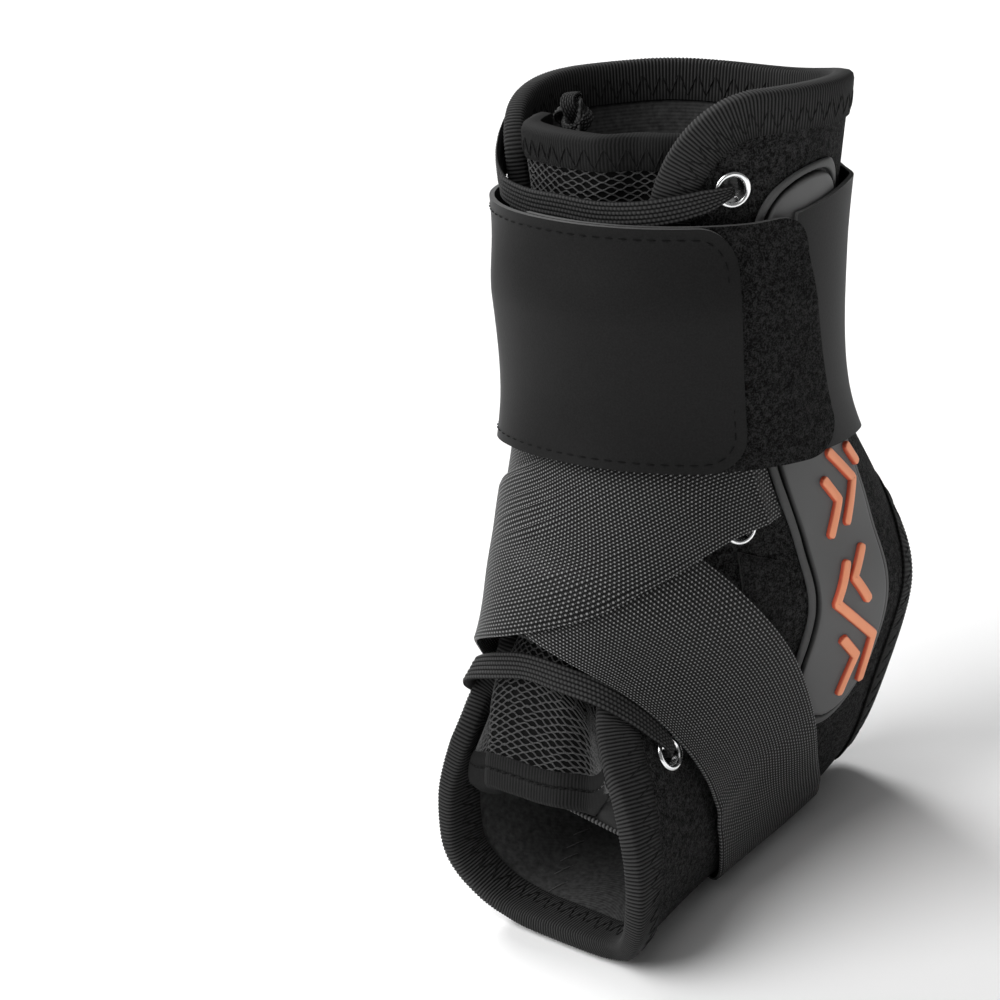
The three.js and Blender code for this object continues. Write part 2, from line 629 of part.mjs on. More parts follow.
function laceRoute() {
  const route = [...LACE_TAIL];
  EYELET_STATIONS.forEach((station, n) => {
    const start = n % 2 ? 1 : -1;
    const place = (degrees, share) => station + share * (RUNG_SAG[n] + (RUNG_LEAN[n] * degrees) / 40);
    const half = (side) => [
      [station, side * EYELET.angle, LACE.under, 1],
      [station, side * EYELET.angle, -1.6, 1],
      [station, side * (EYELET.angle - 1), 2.2, 0.9],
      [place(side * 55, 0.3), side * 55, LACE.over, 0.2],
      [place(side * 44, 0.6), side * 44, LACE.over, 0],
      [place(side * 33, 0.8), side * 33, LACE.over, 0],
      [place(side * 17, 1), side * 17, 0.4, 0],
    ];
    route.push(...half(start), [place(0, 1), 0, LACE.slack, 0], ...half(-start).reverse());
    const next = EYELET_STATIONS[n + 1];
    for (const share of next ? [0.33, 0.67] : []) {
      route.push([mix(station, next, share), -start * EYELET.angle, LACE.under, 0.6]);
    }
  });
  return route;
}

function lace() {
  const route = laceRoute();
  const steps = route.length - 1;
  const centre = route.map(([station, degrees, offset]) => skin(station, degrees, offset));
  let side = new THREE.Vector3();
  const frames = centre.map((point, i) => {
    const [station, degrees, , bunched] = route[i];
    const before = centre[Math.max(i - 1, 0)];
    const after = centre[Math.min(i + 1, steps)];
    const tangent = after.clone().sub(before).normalize();
    const sideways = tangent.clone().cross(slopes(station, degrees).normal);
    if (sideways.length() > LACE_UPRIGHT) side = sideways.normalize();
    side = side.clone().addScaledVector(tangent, -side.dot(tangent)).normalize();
    const width = mix(LACE.width, LACE.bunched, bunched) / 2;
    const thick = mix(LACE.thick, LACE.gathered, bunched) / 2;
    return { point, side: side.clone(), lift: side.clone().cross(tangent), width, thick };
  });
  return ribbon(steps, 1, (i, j, face) => {
    const { point, side: across, lift, width, thick } = frames[i];
    const middle = point.clone().addScaledVector(across, (2 * j - 1) * width);
    return middle.addScaledVector(lift, (2 * face - 1) * thick);
  });
}

// Assembly
addPart('shell', shell(), SHELL_CLOTH);
const edge = shellEdge();
addPart('edge_binding', binding(edge.length, (i) => edge[i]), TAPE);
addPart('heel_binding', binding(HEEL_STEPS, (i) => heelEdge(-i, HEEL_SLACK), HEEL_LINING), TAPE);
addPart('tongue_pad', tonguePad(), MESH_CLOTH);
addPart('tongue_top_binding', tongueBinding(TONGUE_ENDS.top, 1, TOP_TAPE), TAPE);
addPart('tongue_toe_binding', tongueBinding(TONGUE_ENDS.toe, -1, TOE_TAPE), TAPE);
addPart('lace', lace(), LACE_CLOTH);
for (const [name, side] of [['outer', 1], ['inner', -1]]) {
  EYELET_STATIONS.forEach((station, n) => {
    addPart(`eyelet_${name}_${n + 1}`, eyelet(station, side * EYELET.angle), EYELET_METAL);
  });
  addPart(`stay_${name}`, stay(side), STAY_RUBBER);
  CHEVRONS.forEach((stroke, n) => addPart(`chevron_${name}_${n + 1}`, chevron(side, stroke), CHEVRON_RUBBER));
  addPart(`patch_${name}`, patch(side), LOOP_CLOTH);
  addPart(`strap_${name}`, strap(side), STRAP_CLOTH);
}
addPart('cuff_band', cuffPiece(96, 268, 20, bandBase, BAND.thick, 0), BAND_CLOTH);
addPart('cuff_loop_panel', cuffPiece(106, -10, 16, panelBase, PANEL.thick, 106), LOOP_CLOTH);
addPart('cuff_flap', cuffPiece(65, -100, 20, flapBase, FLAP.thick, 65), BAND_CLOTH);

export default brace;
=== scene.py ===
# %% [markdown]
# # A lace-up ankle brace
# The real thing is a padded cloth shell that is laced over a tongue, with webbing straps, moulded
# rubber stays and a hook-and-loop cuff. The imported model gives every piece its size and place. Here
# each piece gets the surface that it has in the hand: tape ribs, weave, net, stitches and rubber.

# %% Load the fixed frame
import math

import bpy
import numpy as np
from mathutils import Matrix, Vector


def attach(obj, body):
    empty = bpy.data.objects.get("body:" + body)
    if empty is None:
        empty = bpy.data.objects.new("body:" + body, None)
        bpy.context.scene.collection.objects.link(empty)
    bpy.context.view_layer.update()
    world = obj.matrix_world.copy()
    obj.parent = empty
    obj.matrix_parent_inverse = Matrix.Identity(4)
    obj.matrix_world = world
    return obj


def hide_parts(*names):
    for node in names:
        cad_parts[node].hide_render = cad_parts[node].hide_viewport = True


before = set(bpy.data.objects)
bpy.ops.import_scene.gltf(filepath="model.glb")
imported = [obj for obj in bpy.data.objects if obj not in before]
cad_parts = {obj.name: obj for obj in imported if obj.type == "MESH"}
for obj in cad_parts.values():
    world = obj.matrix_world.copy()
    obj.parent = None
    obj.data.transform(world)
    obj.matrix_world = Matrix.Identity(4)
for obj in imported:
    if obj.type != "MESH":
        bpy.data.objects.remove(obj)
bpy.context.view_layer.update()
MM = 0.001
ORIGIN = np.array([0.1, 56.19, 0.0])

# %% [markdown]
# ## The camera
# The photographer held the camera level with the leg, which leans back, so the picture is a little
# rolled against the floor. The camera is therefore set up in the leg's own axes: how far round, how far
# above, and how far away. A long lens keeps the outline nearly free of perspective.

# %% Camera
LEG_LEAN = 14
CAMERA_ROUND = 45
CAMERA_ABOVE = 15
CAMERA_AWAY = 1100
AIM = np.array([0.0, -40.0, 110.0])
AIM_IN_PICTURE = (709, 470)
PICTURE = 1000
PIXELS_PER_MM = 3.55
SENSOR = 36


def unit(vectors):
    return vectors / np.linalg.norm(vectors, axis=-1, keepdims=True)


lean = math.radians(LEG_LEAN)
leg_up = np.array([0, math.sin(lean), math.cos(lean)])
leg_ahead = np.array([0, -math.cos(lean), math.sin(lean)])
around, above = math.radians(CAMERA_ROUND), math.radians(CAMERA_ABOVE)
level = math.sin(around) * np.array([1, 0, 0]) + math.cos(around) * leg_ahead
back = math.cos(above) * level + math.sin(above) * leg_up
right = unit(np.cross(leg_up, back))
upward = np.cross(back, right)
eye = AIM + CAMERA_AWAY * back
centre = AIM + right * (PICTURE / 2 - AIM_IN_PICTURE[0]) / PIXELS_PER_MM
centre = centre - upward * (PICTURE / 2 - AIM_IN_PICTURE[1]) / PIXELS_PER_MM
view_back = unit(eye - centre)
view_right = unit(np.cross(upward, view_back))
view_up = np.cross(view_back, view_right)

camera_data = bpy.data.cameras.new("camera")
camera_data.sensor_width = SENSOR
camera_data.lens = SENSOR * PIXELS_PER_MM * CAMERA_AWAY / PICTURE
camera = bpy.data.objects.new("camera", camera_data)
bpy.context.scene.collection.objects.link(camera)
turned = Matrix([view_right, view_up, view_back]).transposed().to_4x4()
camera.matrix_world = Matrix.Translation(Vector((eye + ORIGIN) * MM)) @ turned
bpy.context.scene.camera = camera
print("camera lens", round(camera_data.lens, 1), "mm")

# %% [markdown]
# ## One surface for the whole brace
# Everything lies on one curved surface that runs from the rim of the leg (station 0) to the toes
# (station 8). Degrees run round it from the front over the outer side. A row of this table is one oval
# cross-section, from a front point to a back or sole point. All pieces are then placed by station,
# degrees and height above the shell, just as a pattern cutter lays pieces on a last.

# %% Cross-sections and the curve through them
SHELL_WALL = 4
SOLE_LIFT = 2.2
SOLE_SOFT = 6
FRONT_SQUARE = 2.1
ANKLE = np.array([62.0, 76.0])


def leg_section(height, front, behind, half):
    rise = np.array([-math.sin(lean), math.cos(lean)])
    forward = np.array([rise[1], -rise[0]])
    a = ANKLE + rise * height + forward * front
    b = ANKLE + rise * height - forward * behind
    return [a[0], a[1], half, b[0], b[1], 0.5, FRONT_SQUARE, 0, 0]


# Columns: front forward and up, half width, back forward and up, middle, squareness, egg, sideways.
SECTIONS = np.array([
    leg_section(150, 46, 46, 47),
    leg_section(105, 42, 42, 43),
    leg_section(65, 38.5, 46, 40.5),
    leg_section(30, 46, 67, 43),
    [106, 106, 44, -15, 55, 0.5, 2.2, 0, 0],
    [111, 97, 35, 2, 14, 0.52, 2.0, 0.16, -2],
    [114.5, 89, 31, 42, -7, 0.54, 1.85, 0.24, -3.5],
    [117, 82, 36, 84, -7, 0.54, 1.95, 0.18, -3.5],
    [119, 76, 40, 126, -5, 0.54, 2.1, 0.02, -1],
])
LAST = len(SECTIONS) - 1
LEAST_GAP = 1e-4


def through(points, share, even=False):
    """Smooth curve through rows of points, at shares from 0 to 1 of its length in rows."""
    rows = np.asarray(points, float)
    rows = np.vstack([2 * rows[0] - rows[1], rows, 2 * rows[-1] - rows[-2]])
    spans = len(rows) - 3
    place = np.clip(np.asarray(share, float), 0, 1) * spans
    k = np.minimum(place.astype(int), spans - 1)
    w = (place - k)[..., None]
    p0, p1, p2, p3 = (rows[k + n] for n in range(4))

    def knot(a, b):
        gap = np.sqrt(np.linalg.norm(b - a, axis=-1, keepdims=True))
        return np.ones_like(gap) if even else np.maximum(gap, LEAST_GAP)

    d0, d1, d2 = knot(p0, p1), knot(p1, p2), knot(p2, p3)
    leave = ((p1 - p0) / d0 - (p2 - p0) / (d0 + d1) + (p2 - p1) / d1) * d1
    arrive = ((p2 - p1) / d1 - (p3 - p1) / (d1 + d2) + (p3 - p2) / d2) * d1
    cubic = 2 * p1 - 2 * p2 + leave + arrive
    square = -3 * p1 + 3 * p2 - 2 * leave - arrive
    return p1 + w * (leave + w * (square + w * cubic))


print("surface from", SECTIONS[0, :2].round(1), "to", SECTIONS[-1, :2].round(1), "mm")

# %% Points, slopes and steps on the surface
WALK_STEP = 5
END_STEP = 0.05
SLOPE_STEPS = (0.02, 1.0)


def mix(a, b, share):
    return a + (b - a) * share


def smooth(x, low, high):
    t = np.clip((np.asarray(x, float) - low) / (high - low), 0, 1)
    return t * t * (3 - 2 * t)


def oval(station, degrees):
    columns = np.moveaxis(through(SECTIONS, station / LAST, even=True), -1, 0)
    front_f, front_z, half, back_f, back_z, mid, square, egg, aside = columns
    cos, sin = np.cos(np.radians(degrees)), np.sin(np.radians(degrees))
    power = 2 / np.where(cos < 0, square, FRONT_SQUARE)
    c = np.sign(cos) * np.abs(cos) ** power
    s = np.sign(sin) * np.abs(sin) ** power
    along = 1 - mid + np.where(c > 0, mid, 1 - mid) * c
    forward = mix(back_f, front_f, along)
    return np.stack([aside + half * s * (1 + egg * c), -forward, mix(back_z, front_z, along)], -1)


def bare(station, degrees):
    """A point on the bare surface; past its ends the surface runs straight on."""
    station, degrees = np.broadcast_arrays(np.asarray(station, float), np.asarray(degrees, float))
    inside = np.clip(station, 0, LAST)
    beyond = (station - inside)[..., None]
    step = np.where(beyond > 0, -END_STEP, END_STEP)[..., 0]
    point = oval(inside, degrees)
    run = (point - oval(inside + step, degrees)) / END_STEP
    return point + run * np.abs(beyond)


def slopes(station, degrees):
    """The way out of the surface, and how a point moves with station and with degrees."""
    h, d = SLOPE_STEPS
    by_station = (bare(station + h, degrees) - bare(station - h, degrees)) / (2 * h)
    by_degree = (bare(station, degrees + d) - bare(station, degrees - d)) / (2 * d)
    return unit(np.cross(by_station, by_degree)), by_station, by_degree


def skin(station, degrees, offset):
    """A point at a height above the shell's outer face. The sole is pressed flat, with a soft bend."""
    station, degrees, offset = np.broadcast_arrays(station, degrees, np.asarray(offset, float))
    point = bare(station, degrees) + slopes(station, degrees)[0] * offset[..., None]
    floor = np.maximum(SOLE_LIFT - offset, 0)
    above = point[..., 2] - floor
    bend = np.clip(above + SOLE_SOFT, 0, 2 * SOLE_SOFT) ** 2 / (4 * SOLE_SOFT)
    point[..., 2] = floor + np.maximum(bend, above)
    return point


def walk(station, degrees, direction, distance):
    """Walks straight ahead over the surface in short steps; returns the new station and degrees."""
    distance = np.broadcast_to(np.asarray(distance, float), np.shape(station))
    steps = max(1, math.ceil(np.abs(distance).max() / WALK_STEP))
    heading = direction
    for _ in range(steps):
        normal, a, b = slopes(station, degrees)
        heading = unit(heading - (heading * normal).sum(-1, keepdims=True) * normal)
        aa, ab, bb = (a * a).sum(-1), (a * b).sum(-1), (b * b).sum(-1)
        da, db = (heading * a).sum(-1), (heading * b).sum(-1)
        det = aa * bb - ab * ab
        station = station + (da * bb - db * ab) / det * distance / steps
        degrees = degrees + (db * aa - da * ab) / det * distance / steps
    return station, degrees


rim_ring = bare(0.0, np.arange(361.0))
print("girth at the rim", round(np.linalg.norm(np.diff(rim_ring, axis=0), axis=1).sum()), "mm")

# %% [markdown]
# ## From grids of points to meshes
# A cloth layer is two grids of points, an upper and an under face, closed by narrow walls. Cells can be
# left out for holes. Each mesh also carries the cloth's own coordinates in millimetres, across and along,
# so that a weave follows the cloth round every bend.

# %% Mesh helpers
SHARP = 50


def make_piece(name, points, faces, materials, cloth=None, face_slots=None, crown=None):
    """One mesh object in metres, shaded smooth with sharp edges kept, riding on the brace."""
    mesh = bpy.data.meshes.new(name)
    mesh.from_pydata(((points + ORIGIN) * MM).tolist(), [], faces)
    for material in materials:
        mesh.materials.append(material)
    if face_slots is not None:
        mesh.polygons.foreach_set("material_index", np.asarray(face_slots, np.int32))
    if cloth is not None:
        flat = np.zeros((len(points), 3), np.float32)
        flat[:, :2] = cloth
        mesh.attributes.new("cloth_mm", "FLOAT_VECTOR", "POINT").data.foreach_set("vector", flat.ravel())
    if crown is not None:
        mesh.attributes.new("crown", "FLOAT", "POINT").data.foreach_set("value", crown.astype(np.float32))
    mesh.update()
    mesh.shade_smooth()
    mesh.set_sharp_from_angle(angle=math.radians(SHARP))
    piece = bpy.data.objects.new(name, mesh)
    bpy.context.scene.collection.objects.link(piece)
    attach(piece, "root")
    print(name, len(mesh.polygons), "faces")
    return piece


def layer(upper, under, keep=None):
    """A closed layer of cloth: points, faces, each face's side (0 upper, 1 under, 2 wall), kept points."""
    rows, columns = upper.shape[:2]
    number = np.arange(rows * columns).reshape(rows, columns)
    here, down = number[:-1, :-1], number[1:, :-1]
    aside, across = number[:-1, 1:], number[1:, 1:]
    kept = np.ones(here.shape, bool) if keep is None else keep
    below = rows * columns
    quads = np.stack([here, down, across, aside], -1)[kept]
    faces = [quads, quads[:, ::-1] + below]
    padded = np.pad(kept, 1)
    walls = ((aside, here, 0, 1), (down, across, 2, 1), (here, down, 1, 0), (across, aside, 1, 2))
    for a, b, row, column in walls:
        neighbour = padded[row:row + kept.shape[0], column:column + kept.shape[1]]
        edge = kept & ~neighbour
        faces.append(np.stack([a[edge], b[edge], b[edge] + below, a[edge] + below], -1))
    sides = np.concatenate([np.full(len(f), min(n, 2)) for n, f in enumerate(faces)])
    faces = np.concatenate(faces)
    used, faces = np.unique(faces, return_inverse=True)
    points = np.concatenate([upper.reshape(-1, 3), under.reshape(-1, 3)])
    return points[used], faces.reshape(-1, 4), sides, used


def facing_out(points, faces):
    a, b, c = (points[faces[:, n]] for n in range(3))
    d = points[faces[:, 3]]
    volume = (a * np.cross(b, c)).sum() + (a * np.cross(c, d)).sum()
    return faces if volume > 0 else faces[:, ::-1]


def cloth_piece(name, upper, under, materials, cloth, keep=None):
    """A closed layer of cloth as one piece, with materials for its upper face, under face and walls."""
    points, faces, sides, used = layer(upper, under, keep)
    flat = np.tile(cloth.reshape(-1, 2), (2, 1))[used]
    slots = np.minimum(sides, len(materials) - 1)
    return make_piece(name, points, facing_out(points, faces).tolist(), materials, flat, slots)


def tubes(paths, normals, radius, sides=6):
    """Closed round threads: paths and normals are (thread, point, 3), radius one value per point."""
    tangents = unit(np.gradient(paths, axis=1))
    across = unit(np.cross(tangents, normals))
    lift = np.cross(across, tangents)
    count, length = paths.shape[:2]
    turn = np.arange(sides) * 2 * math.pi / sides
    ring = np.cos(turn)[:, None] * across[..., None, :] + np.sin(turn)[:, None] * lift[..., None, :]
    points = paths[..., None, :] + ring * np.reshape(radius, (1, -1, 1, 1))
    number = np.arange(count * length * sides).reshape(count, length, sides)
    nxt = np.roll(number, -1, axis=2)
    walls = np.stack([number[:, :-1], nxt[:, :-1], nxt[:, 1:], number[:, 1:]], -1).reshape(-1, 4)
    caps = np.concatenate([number[:, 0, ::-1], number[:, -1]])
    return points.reshape(-1, 3), walls.tolist() + caps.tolist()


def lengths(points):
    """Running length along a line of points."""
    return np.concatenate([[0], np.cumsum(np.linalg.norm(np.diff(points, axis=0), axis=1))])


def evenly(values, points, spacing):
    """Resamples rows of values at an even spacing along a line of points."""
    run = lengths(points)
    at = np.linspace(0, run[-1], max(2, round(run[-1] / spacing) + 1))
    return np.stack([np.interp(at, run, column) for column in np.asarray(values).T], -1), at


# %% [markdown]
# ## Materials
# Black cloth is never one black. Pile swallows light, nylon glints where its threads turn to the lamp,
# elastic tape is dull, and moulded rubber has a soft grey bloom. Each finish starts from the real
# material, and the size of its pattern is a real size in millimetres.

# %% Material helpers


def linear(code):
    """An sRGB hex colour as the linear colour that a shader wants."""
    parts = [int(code[n:n + 2], 16) / 255 for n in (1, 3, 5)]
    return tuple(p / 12.92 if p <= 0.04045 else ((p + 0.055) / 1.055) ** 2.4 for p in parts) + (1.0,)


def add(tree, kind, links=None, **settings):
    """Adds a node with its settings; links maps an input to a value or to another node's output."""
    node = tree.nodes.new(kind)
    for key, value in settings.items():
        setattr(node, key, value)
    for socket, value in (links or {}).items():
        if isinstance(value, bpy.types.NodeSocket):
            tree.links.new(value, node.inputs[socket])
        else:
            node.inputs[socket].default_value = value
    return node


def new_material(name):
    material = bpy.data.materials.new(name)
    material.use_nodes = True
    material.node_tree.nodes.clear()
    return material, material.node_tree


def maths(tree, operation, *values):
    """A math node on values or other nodes' outputs."""
    return add(tree, "ShaderNodeMath", dict(enumerate(values)), operation=operation).outputs[0]


def noise(tree, size, **inputs):
    """Noise with lumps of this size in millimetres."""
    place = add(tree, "ShaderNodeTexCoord").outputs["Object"]
    return add(tree, "ShaderNodeTexNoise", {"Vector": place, "Scale": 1 / (size * MM), **inputs}).outputs[0]


def tones(tree, value, low, high, dark, light):
    """Colours from dark to light as a value goes from low to high."""
    ramp = add(tree, "ShaderNodeValToRGB", {0: value})
    for element, place, code in zip(ramp.color_ramp.elements, (low, high), (dark, light)):
        element.position = place
        element.color = linear(code)
    return ramp.outputs[0]


def surface(tree, colour, relief, depth, **values):
    """Ends a material: its colour, its relief with a depth in millimetres, and plain values."""
    bump = add(tree, "ShaderNodeBump", {"Height": relief, "Distance": depth * MM, "Strength": 1.0})
    shader = add(tree, "ShaderNodeBsdfPrincipled", {"Base Color": colour, "Normal": bump.outputs[0]})
    for key, value in values.items():
        shader.inputs[key.replace("_", " ")].default_value = value
    add(tree, "ShaderNodeOutputMaterial", {"Surface": shader.outputs[0]})


print("grey 18% is", [round(x, 3) for x in linear("#777777")[:3]])

# %% [markdown]
# Brushed loop cloth covers the shell, the loop panel and the patches. Its surface is a nap of tiny
# nylon loops raised by brushing: dull, with painted shade between the loops and a grey speckle of
# painted highlight where loop tops catch light. Two noises do it, one for the nap and one for tufts.

# %% Brushed loop cloth
NAP = 0.5
TUFT = 1.5
TUFT_SHARE = (0.5, 0.25)
LOOP_PAINTED_SPECKLE_TONES = (0.19, 0.34)


def brushed_loop(name, dark, light):
    material, tree = new_material(name)
    nap = noise(tree, NAP, Detail=3.0, Roughness=0.65)
    tuft = maths(tree, "MULTIPLY_ADD", noise(tree, TUFT, Detail=2.0), *TUFT_SHARE)
    blend = maths(tree, "MULTIPLY", nap, tuft)
    # The nap's tone is painted shade between the loops and painted highlight on the loop tops.
    surface(tree, tones(tree, blend, *LOOP_PAINTED_SPECKLE_TONES, dark, light), nap, 0.6, Roughness=0.95,
            Sheen_Weight=0.02, Specular_IOR_Level=0.08)
    return material


SHELL_LOOP = brushed_loop("brushed loop nylon, shell", "#010101", "#3a3a3a")
PANEL_LOOP = brushed_loop("brushed loop nylon, panel", "#010101", "#323232")
print("nap of", NAP, "mm, tufts of", TUFT, "mm")

# %% [markdown]
# The lining is a smooth polyester jersey. Its knit rows are half a millimetre apart, too fine to show
# at this distance, so they are drawn at one millimetre. Tape and lace have their ribs in the mesh. Their
# colour follows a crown value that each mesh carries: painted shade in the grooves and a painted
# highlight on the crowns.

# %% Jersey lining, elastic tape, thread and lace
KNIT_ROW = 1.0
KNIT_SHARE = 0.1
KNIT_TONES = (0.2, 0.9)
YARN = 0.35
GRAIN_TONES = (0.3, 0.7)
PAINTED_RIB_SHADE_TONES = (0.15, 0.9)


def yarn_cloth(name, dark, light, roughness=0.8):
    material, tree = new_material(name)
    grain = noise(tree, YARN, Detail=2.0)
    surface(tree, tones(tree, grain, *GRAIN_TONES, dark, light), grain, 0.04, Roughness=roughness,
            Specular_IOR_Level=0.15)
    return material


def yarn_with_painted_rib_shade(name, groove_shade, crown, share):
    """Ribbed yarn with painted shade in the grooves and a painted highlight on the crowns; share is how much
    of the tone comes from the crowns, the rest being grain.
    """
    material, tree = new_material(name)
    height = add(tree, "ShaderNodeAttribute", attribute_name="crown").outputs["Fac"]
    grain = noise(tree, YARN, Detail=2.0)
    part = maths(tree, "MULTIPLY", grain, 1 - share)
    tone = maths(tree, "MULTIPLY_ADD", height, share, part)
    surface(tree, tones(tree, tone, *PAINTED_RIB_SHADE_TONES, groove_shade, crown), grain, 0.05, Roughness=0.8,
            Specular_IOR_Level=0.15)
    return material


def jersey(name, dark, light):
    material, tree = new_material(name)
    cloth = add(tree, "ShaderNodeAttribute", attribute_name="cloth_mm").outputs["Vector"]
    along = add(tree, "ShaderNodeSeparateXYZ", {0: cloth}).outputs["Y"]
    wave = maths(tree, "SINE", maths(tree, "MULTIPLY", along, 2 * math.pi / KNIT_ROW))
    knit = maths(tree, "MULTIPLY_ADD", wave, KNIT_SHARE, noise(tree, TUFT, Detail=4.0))
    surface(tree, tones(tree, knit, *KNIT_TONES, dark, light), knit, 0.1, Roughness=0.9,
            Specular_IOR_Level=0.1)
    return material


LINING = jersey("polyester jersey lining", "#2a2a2a", "#505050")
TAPE = yarn_with_painted_rib_shade("ribbed elastic tape", "#030303", "#3e3e3e", 0.8)
TONGUE_TAPE = yarn_with_painted_rib_shade("ribbed elastic tape, tongue", "#040404", "#242424", 0.7)
THREAD = yarn_cloth("polyester sewing thread", "#030303", "#101010")
TAPE_THREAD = yarn_cloth("polyester sewing thread, tape", "#0e0e0e", "#1e1e1e")
PALE_THREAD = yarn_cloth("worn polyester sewing thread", "#2c2c2c", "#4a4a4a")
TACK_THREAD = yarn_cloth("grey polyester tacking thread", "#505050", "#6c6c6c")
OVERCAST = yarn_with_painted_rib_shade("overcast polyester yarn", "#060606", "#5a5a5a", 0.8)
LACE_CLOTH = yarn_with_painted_rib_shade("woven polyester lace", "#040404", "#4c4c4c", 0.8)
NET_YARN = yarn_cloth("spacer net yarn", "#2c2c2c", "#525252", 0.6)
# The near-black ground is painted shade in the net's holes.
NET_GROUND_SHADE = yarn_cloth("spacer net ground", "#020202", "#080808", 0.95)
print("lining rows", KNIT_ROW, "mm, yarn", YARN, "mm")

# %% [markdown]
# Strap webbing is a plain weave of thick nylon yarn. Where one yarn passes over the other it stands
# proud; the colour from the weave's height paints a highlight on these crests and shade in the dark pits
# between them. With A and B the sines across and along the cloth, a yarn's height is its own round back
# plus a share of their product, and the cross yarn has the opposite sign, which is over one, under one.
# The long yarns are thick and dip little, the cross yarns are fine.

# %% Woven nylon webbing
YARN_PITCH = {"X": 0.97, "Y": 0.55}
YARN_CROSSING = (0.5, -1.0)
YARN_FULL = (0.667, 0.35)
WEAVE_SHADE_TONES = (0.57, 1.0)


def webbing(name, pit, crest):
    material, tree = new_material(name)
    cloth = add(tree, "ShaderNodeAttribute", attribute_name="cloth_mm").outputs["Vector"]
    parts = add(tree, "ShaderNodeSeparateXYZ", {0: cloth}).outputs
    sines = [maths(tree, "SINE", maths(tree, "MULTIPLY", parts[axis], math.pi / pitch))
             for axis, pitch in YARN_PITCH.items()]
    product = maths(tree, "MULTIPLY", *sines)
    yarns = [maths(tree, "MULTIPLY_ADD", product, crossing, maths(tree, "ABSOLUTE", sine))
             for sine, crossing in zip(sines, YARN_CROSSING)]
    heights = [maths(tree, "MULTIPLY", yarn, full) for yarn, full in zip(yarns, YARN_FULL)]
    height = maths(tree, "MAXIMUM", *heights)
    # The weave's height paints a highlight on the crests and shade in the pits.
    surface(tree, tones(tree, height, *WEAVE_SHADE_TONES, pit, crest), height, 0.18, Roughness=0.5,
            Specular_IOR_Level=0.15)
    return material


WEBBING = webbing("woven nylon webbing", "#000000", "#929292")
print("yarns", YARN_PITCH, "mm apart")

# %% [markdown]
# The cuff is an elastic laminate with a smooth, faintly pebbled polyurethane face and a paler cut edge;
# the pale edge is partly the foam's own colour and partly a painted highlight. The stays are moulded
# rubber with a satin surface from the mould, with painted shade in the groove, and a little dimmer on
# the flange outside it. The chevrons are the same rubber in orange, with painted shade on their sides
# against the lighter tops. Eyelets are nickel-plated brass, polished.

# %% Laminate, rubber and nickel
PEBBLE = 0.5
# The groove is painted shade; the flange outside it is darker as well.
STAY_GROOVE = {"inside": 2.7, "wide": 0.95, "flange": 0.25, "speckle": 0.1}
GROOVE_SHADE_TONES = (0.45, 1.05)
CHEVRON_SHADE_TONES = (0.3, 0.85)


def moulded(name, dark, light, depth, roughness, specular):
    material, tree = new_material(name)
    grain = noise(tree, PEBBLE, Detail=3.0)
    surface(tree, tones(tree, grain, *GRAIN_TONES, dark, light), grain, depth, Roughness=roughness,
            Specular_IOR_Level=specular)
    return material


def rubber_with_painted_groove_shade(name, groove_shade, face):
    """Rubber with painted shade in its groove and darker on the flange outside it; the crown is the distance
    from the outline.
    """
    material, tree = new_material(name)
    inside = add(tree, "ShaderNodeAttribute", attribute_name="crown").outputs["Fac"]
    away = maths(tree, "ABSOLUTE", maths(tree, "SUBTRACT", inside, STAY_GROOVE["inside"]))
    flange = maths(tree, "LESS_THAN", inside, STAY_GROOVE["inside"])
    most = maths(tree, "MULTIPLY_ADD", flange, -STAY_GROOVE["flange"], 1.0)
    tone = maths(tree, "MINIMUM", most, maths(tree, "DIVIDE", away, STAY_GROOVE["wide"]))
    grain = noise(tree, PEBBLE, Detail=3.0)
    speckle = maths(tree, "MULTIPLY_ADD", grain, STAY_GROOVE["speckle"], tone)
    surface(tree, tones(tree, speckle, *GROOVE_SHADE_TONES, groove_shade, face), grain, 0.01, Roughness=0.55,
            Specular_IOR_Level=0.3)
    return material


def chevron_rubber_with_painted_shade(name, side, top):
    material, tree = new_material(name)
    crown = add(tree, "ShaderNodeAttribute", attribute_name="crown").outputs["Fac"]
    # The crown paints shade on the stroke's sides and ends and leaves the top light.
    surface(tree, tones(tree, crown, *CHEVRON_SHADE_TONES, side, top), noise(tree, PEBBLE), 0.02, Roughness=0.5,
            Specular_IOR_Level=0.25)
    return material


def plated_metal(name, dark, light, roughness):
    material, tree = new_material(name)
    haze = noise(tree, TUFT)
    surface(tree, tones(tree, haze, 0, 1, dark, light), haze, 0.01, Roughness=roughness, Metallic=1.0)
    return material


LAMINATE = moulded("polyurethane-faced elastic laminate", "#151515", "#1c1c1c", 0.03, 0.5, 0.12)
BAND_LAMINATE = moulded("elastic band laminate", "#181818", "#1f1f1f", 0.03, 0.6, 0.2)
# The pale cut edge is partly the laminate foam's own colour and partly a painted highlight; the loop panel
# and the patches get it as well.
CUT_EDGE_AND_HIGHLIGHT = moulded("cut edge with painted highlight", "#4a4a4a", "#5c5c5c", 0.02, 0.8, 0.2)
STAY_RUBBER = rubber_with_painted_groove_shade("moulded grey rubber", "#080808", "#5d5d5d")
CHEVRON_RUBBER = chevron_rubber_with_painted_shade("moulded orange rubber", "#d65c42", "#ffa67c")
NICKEL = plated_metal("polished nickel plate", "#e4e5e6", "#f6f6f6", 0.2)
print("pebble grain", PEBBLE, "mm")

# %% [markdown]
# ## Stitches
# A lockstitch shows as a row of short threads that dip into the cloth at each end. One function lays
# such threads along any line; the tape's zigzag uses the same threads.

# %% Stitch helpers
THREAD_RADIUS = 0.22
DIP = np.array([-0.5, 0.75, 1.0, 0.75, -0.5])
SLIM = np.array([0.45, 0.9, 1.0, 0.9, 0.45])


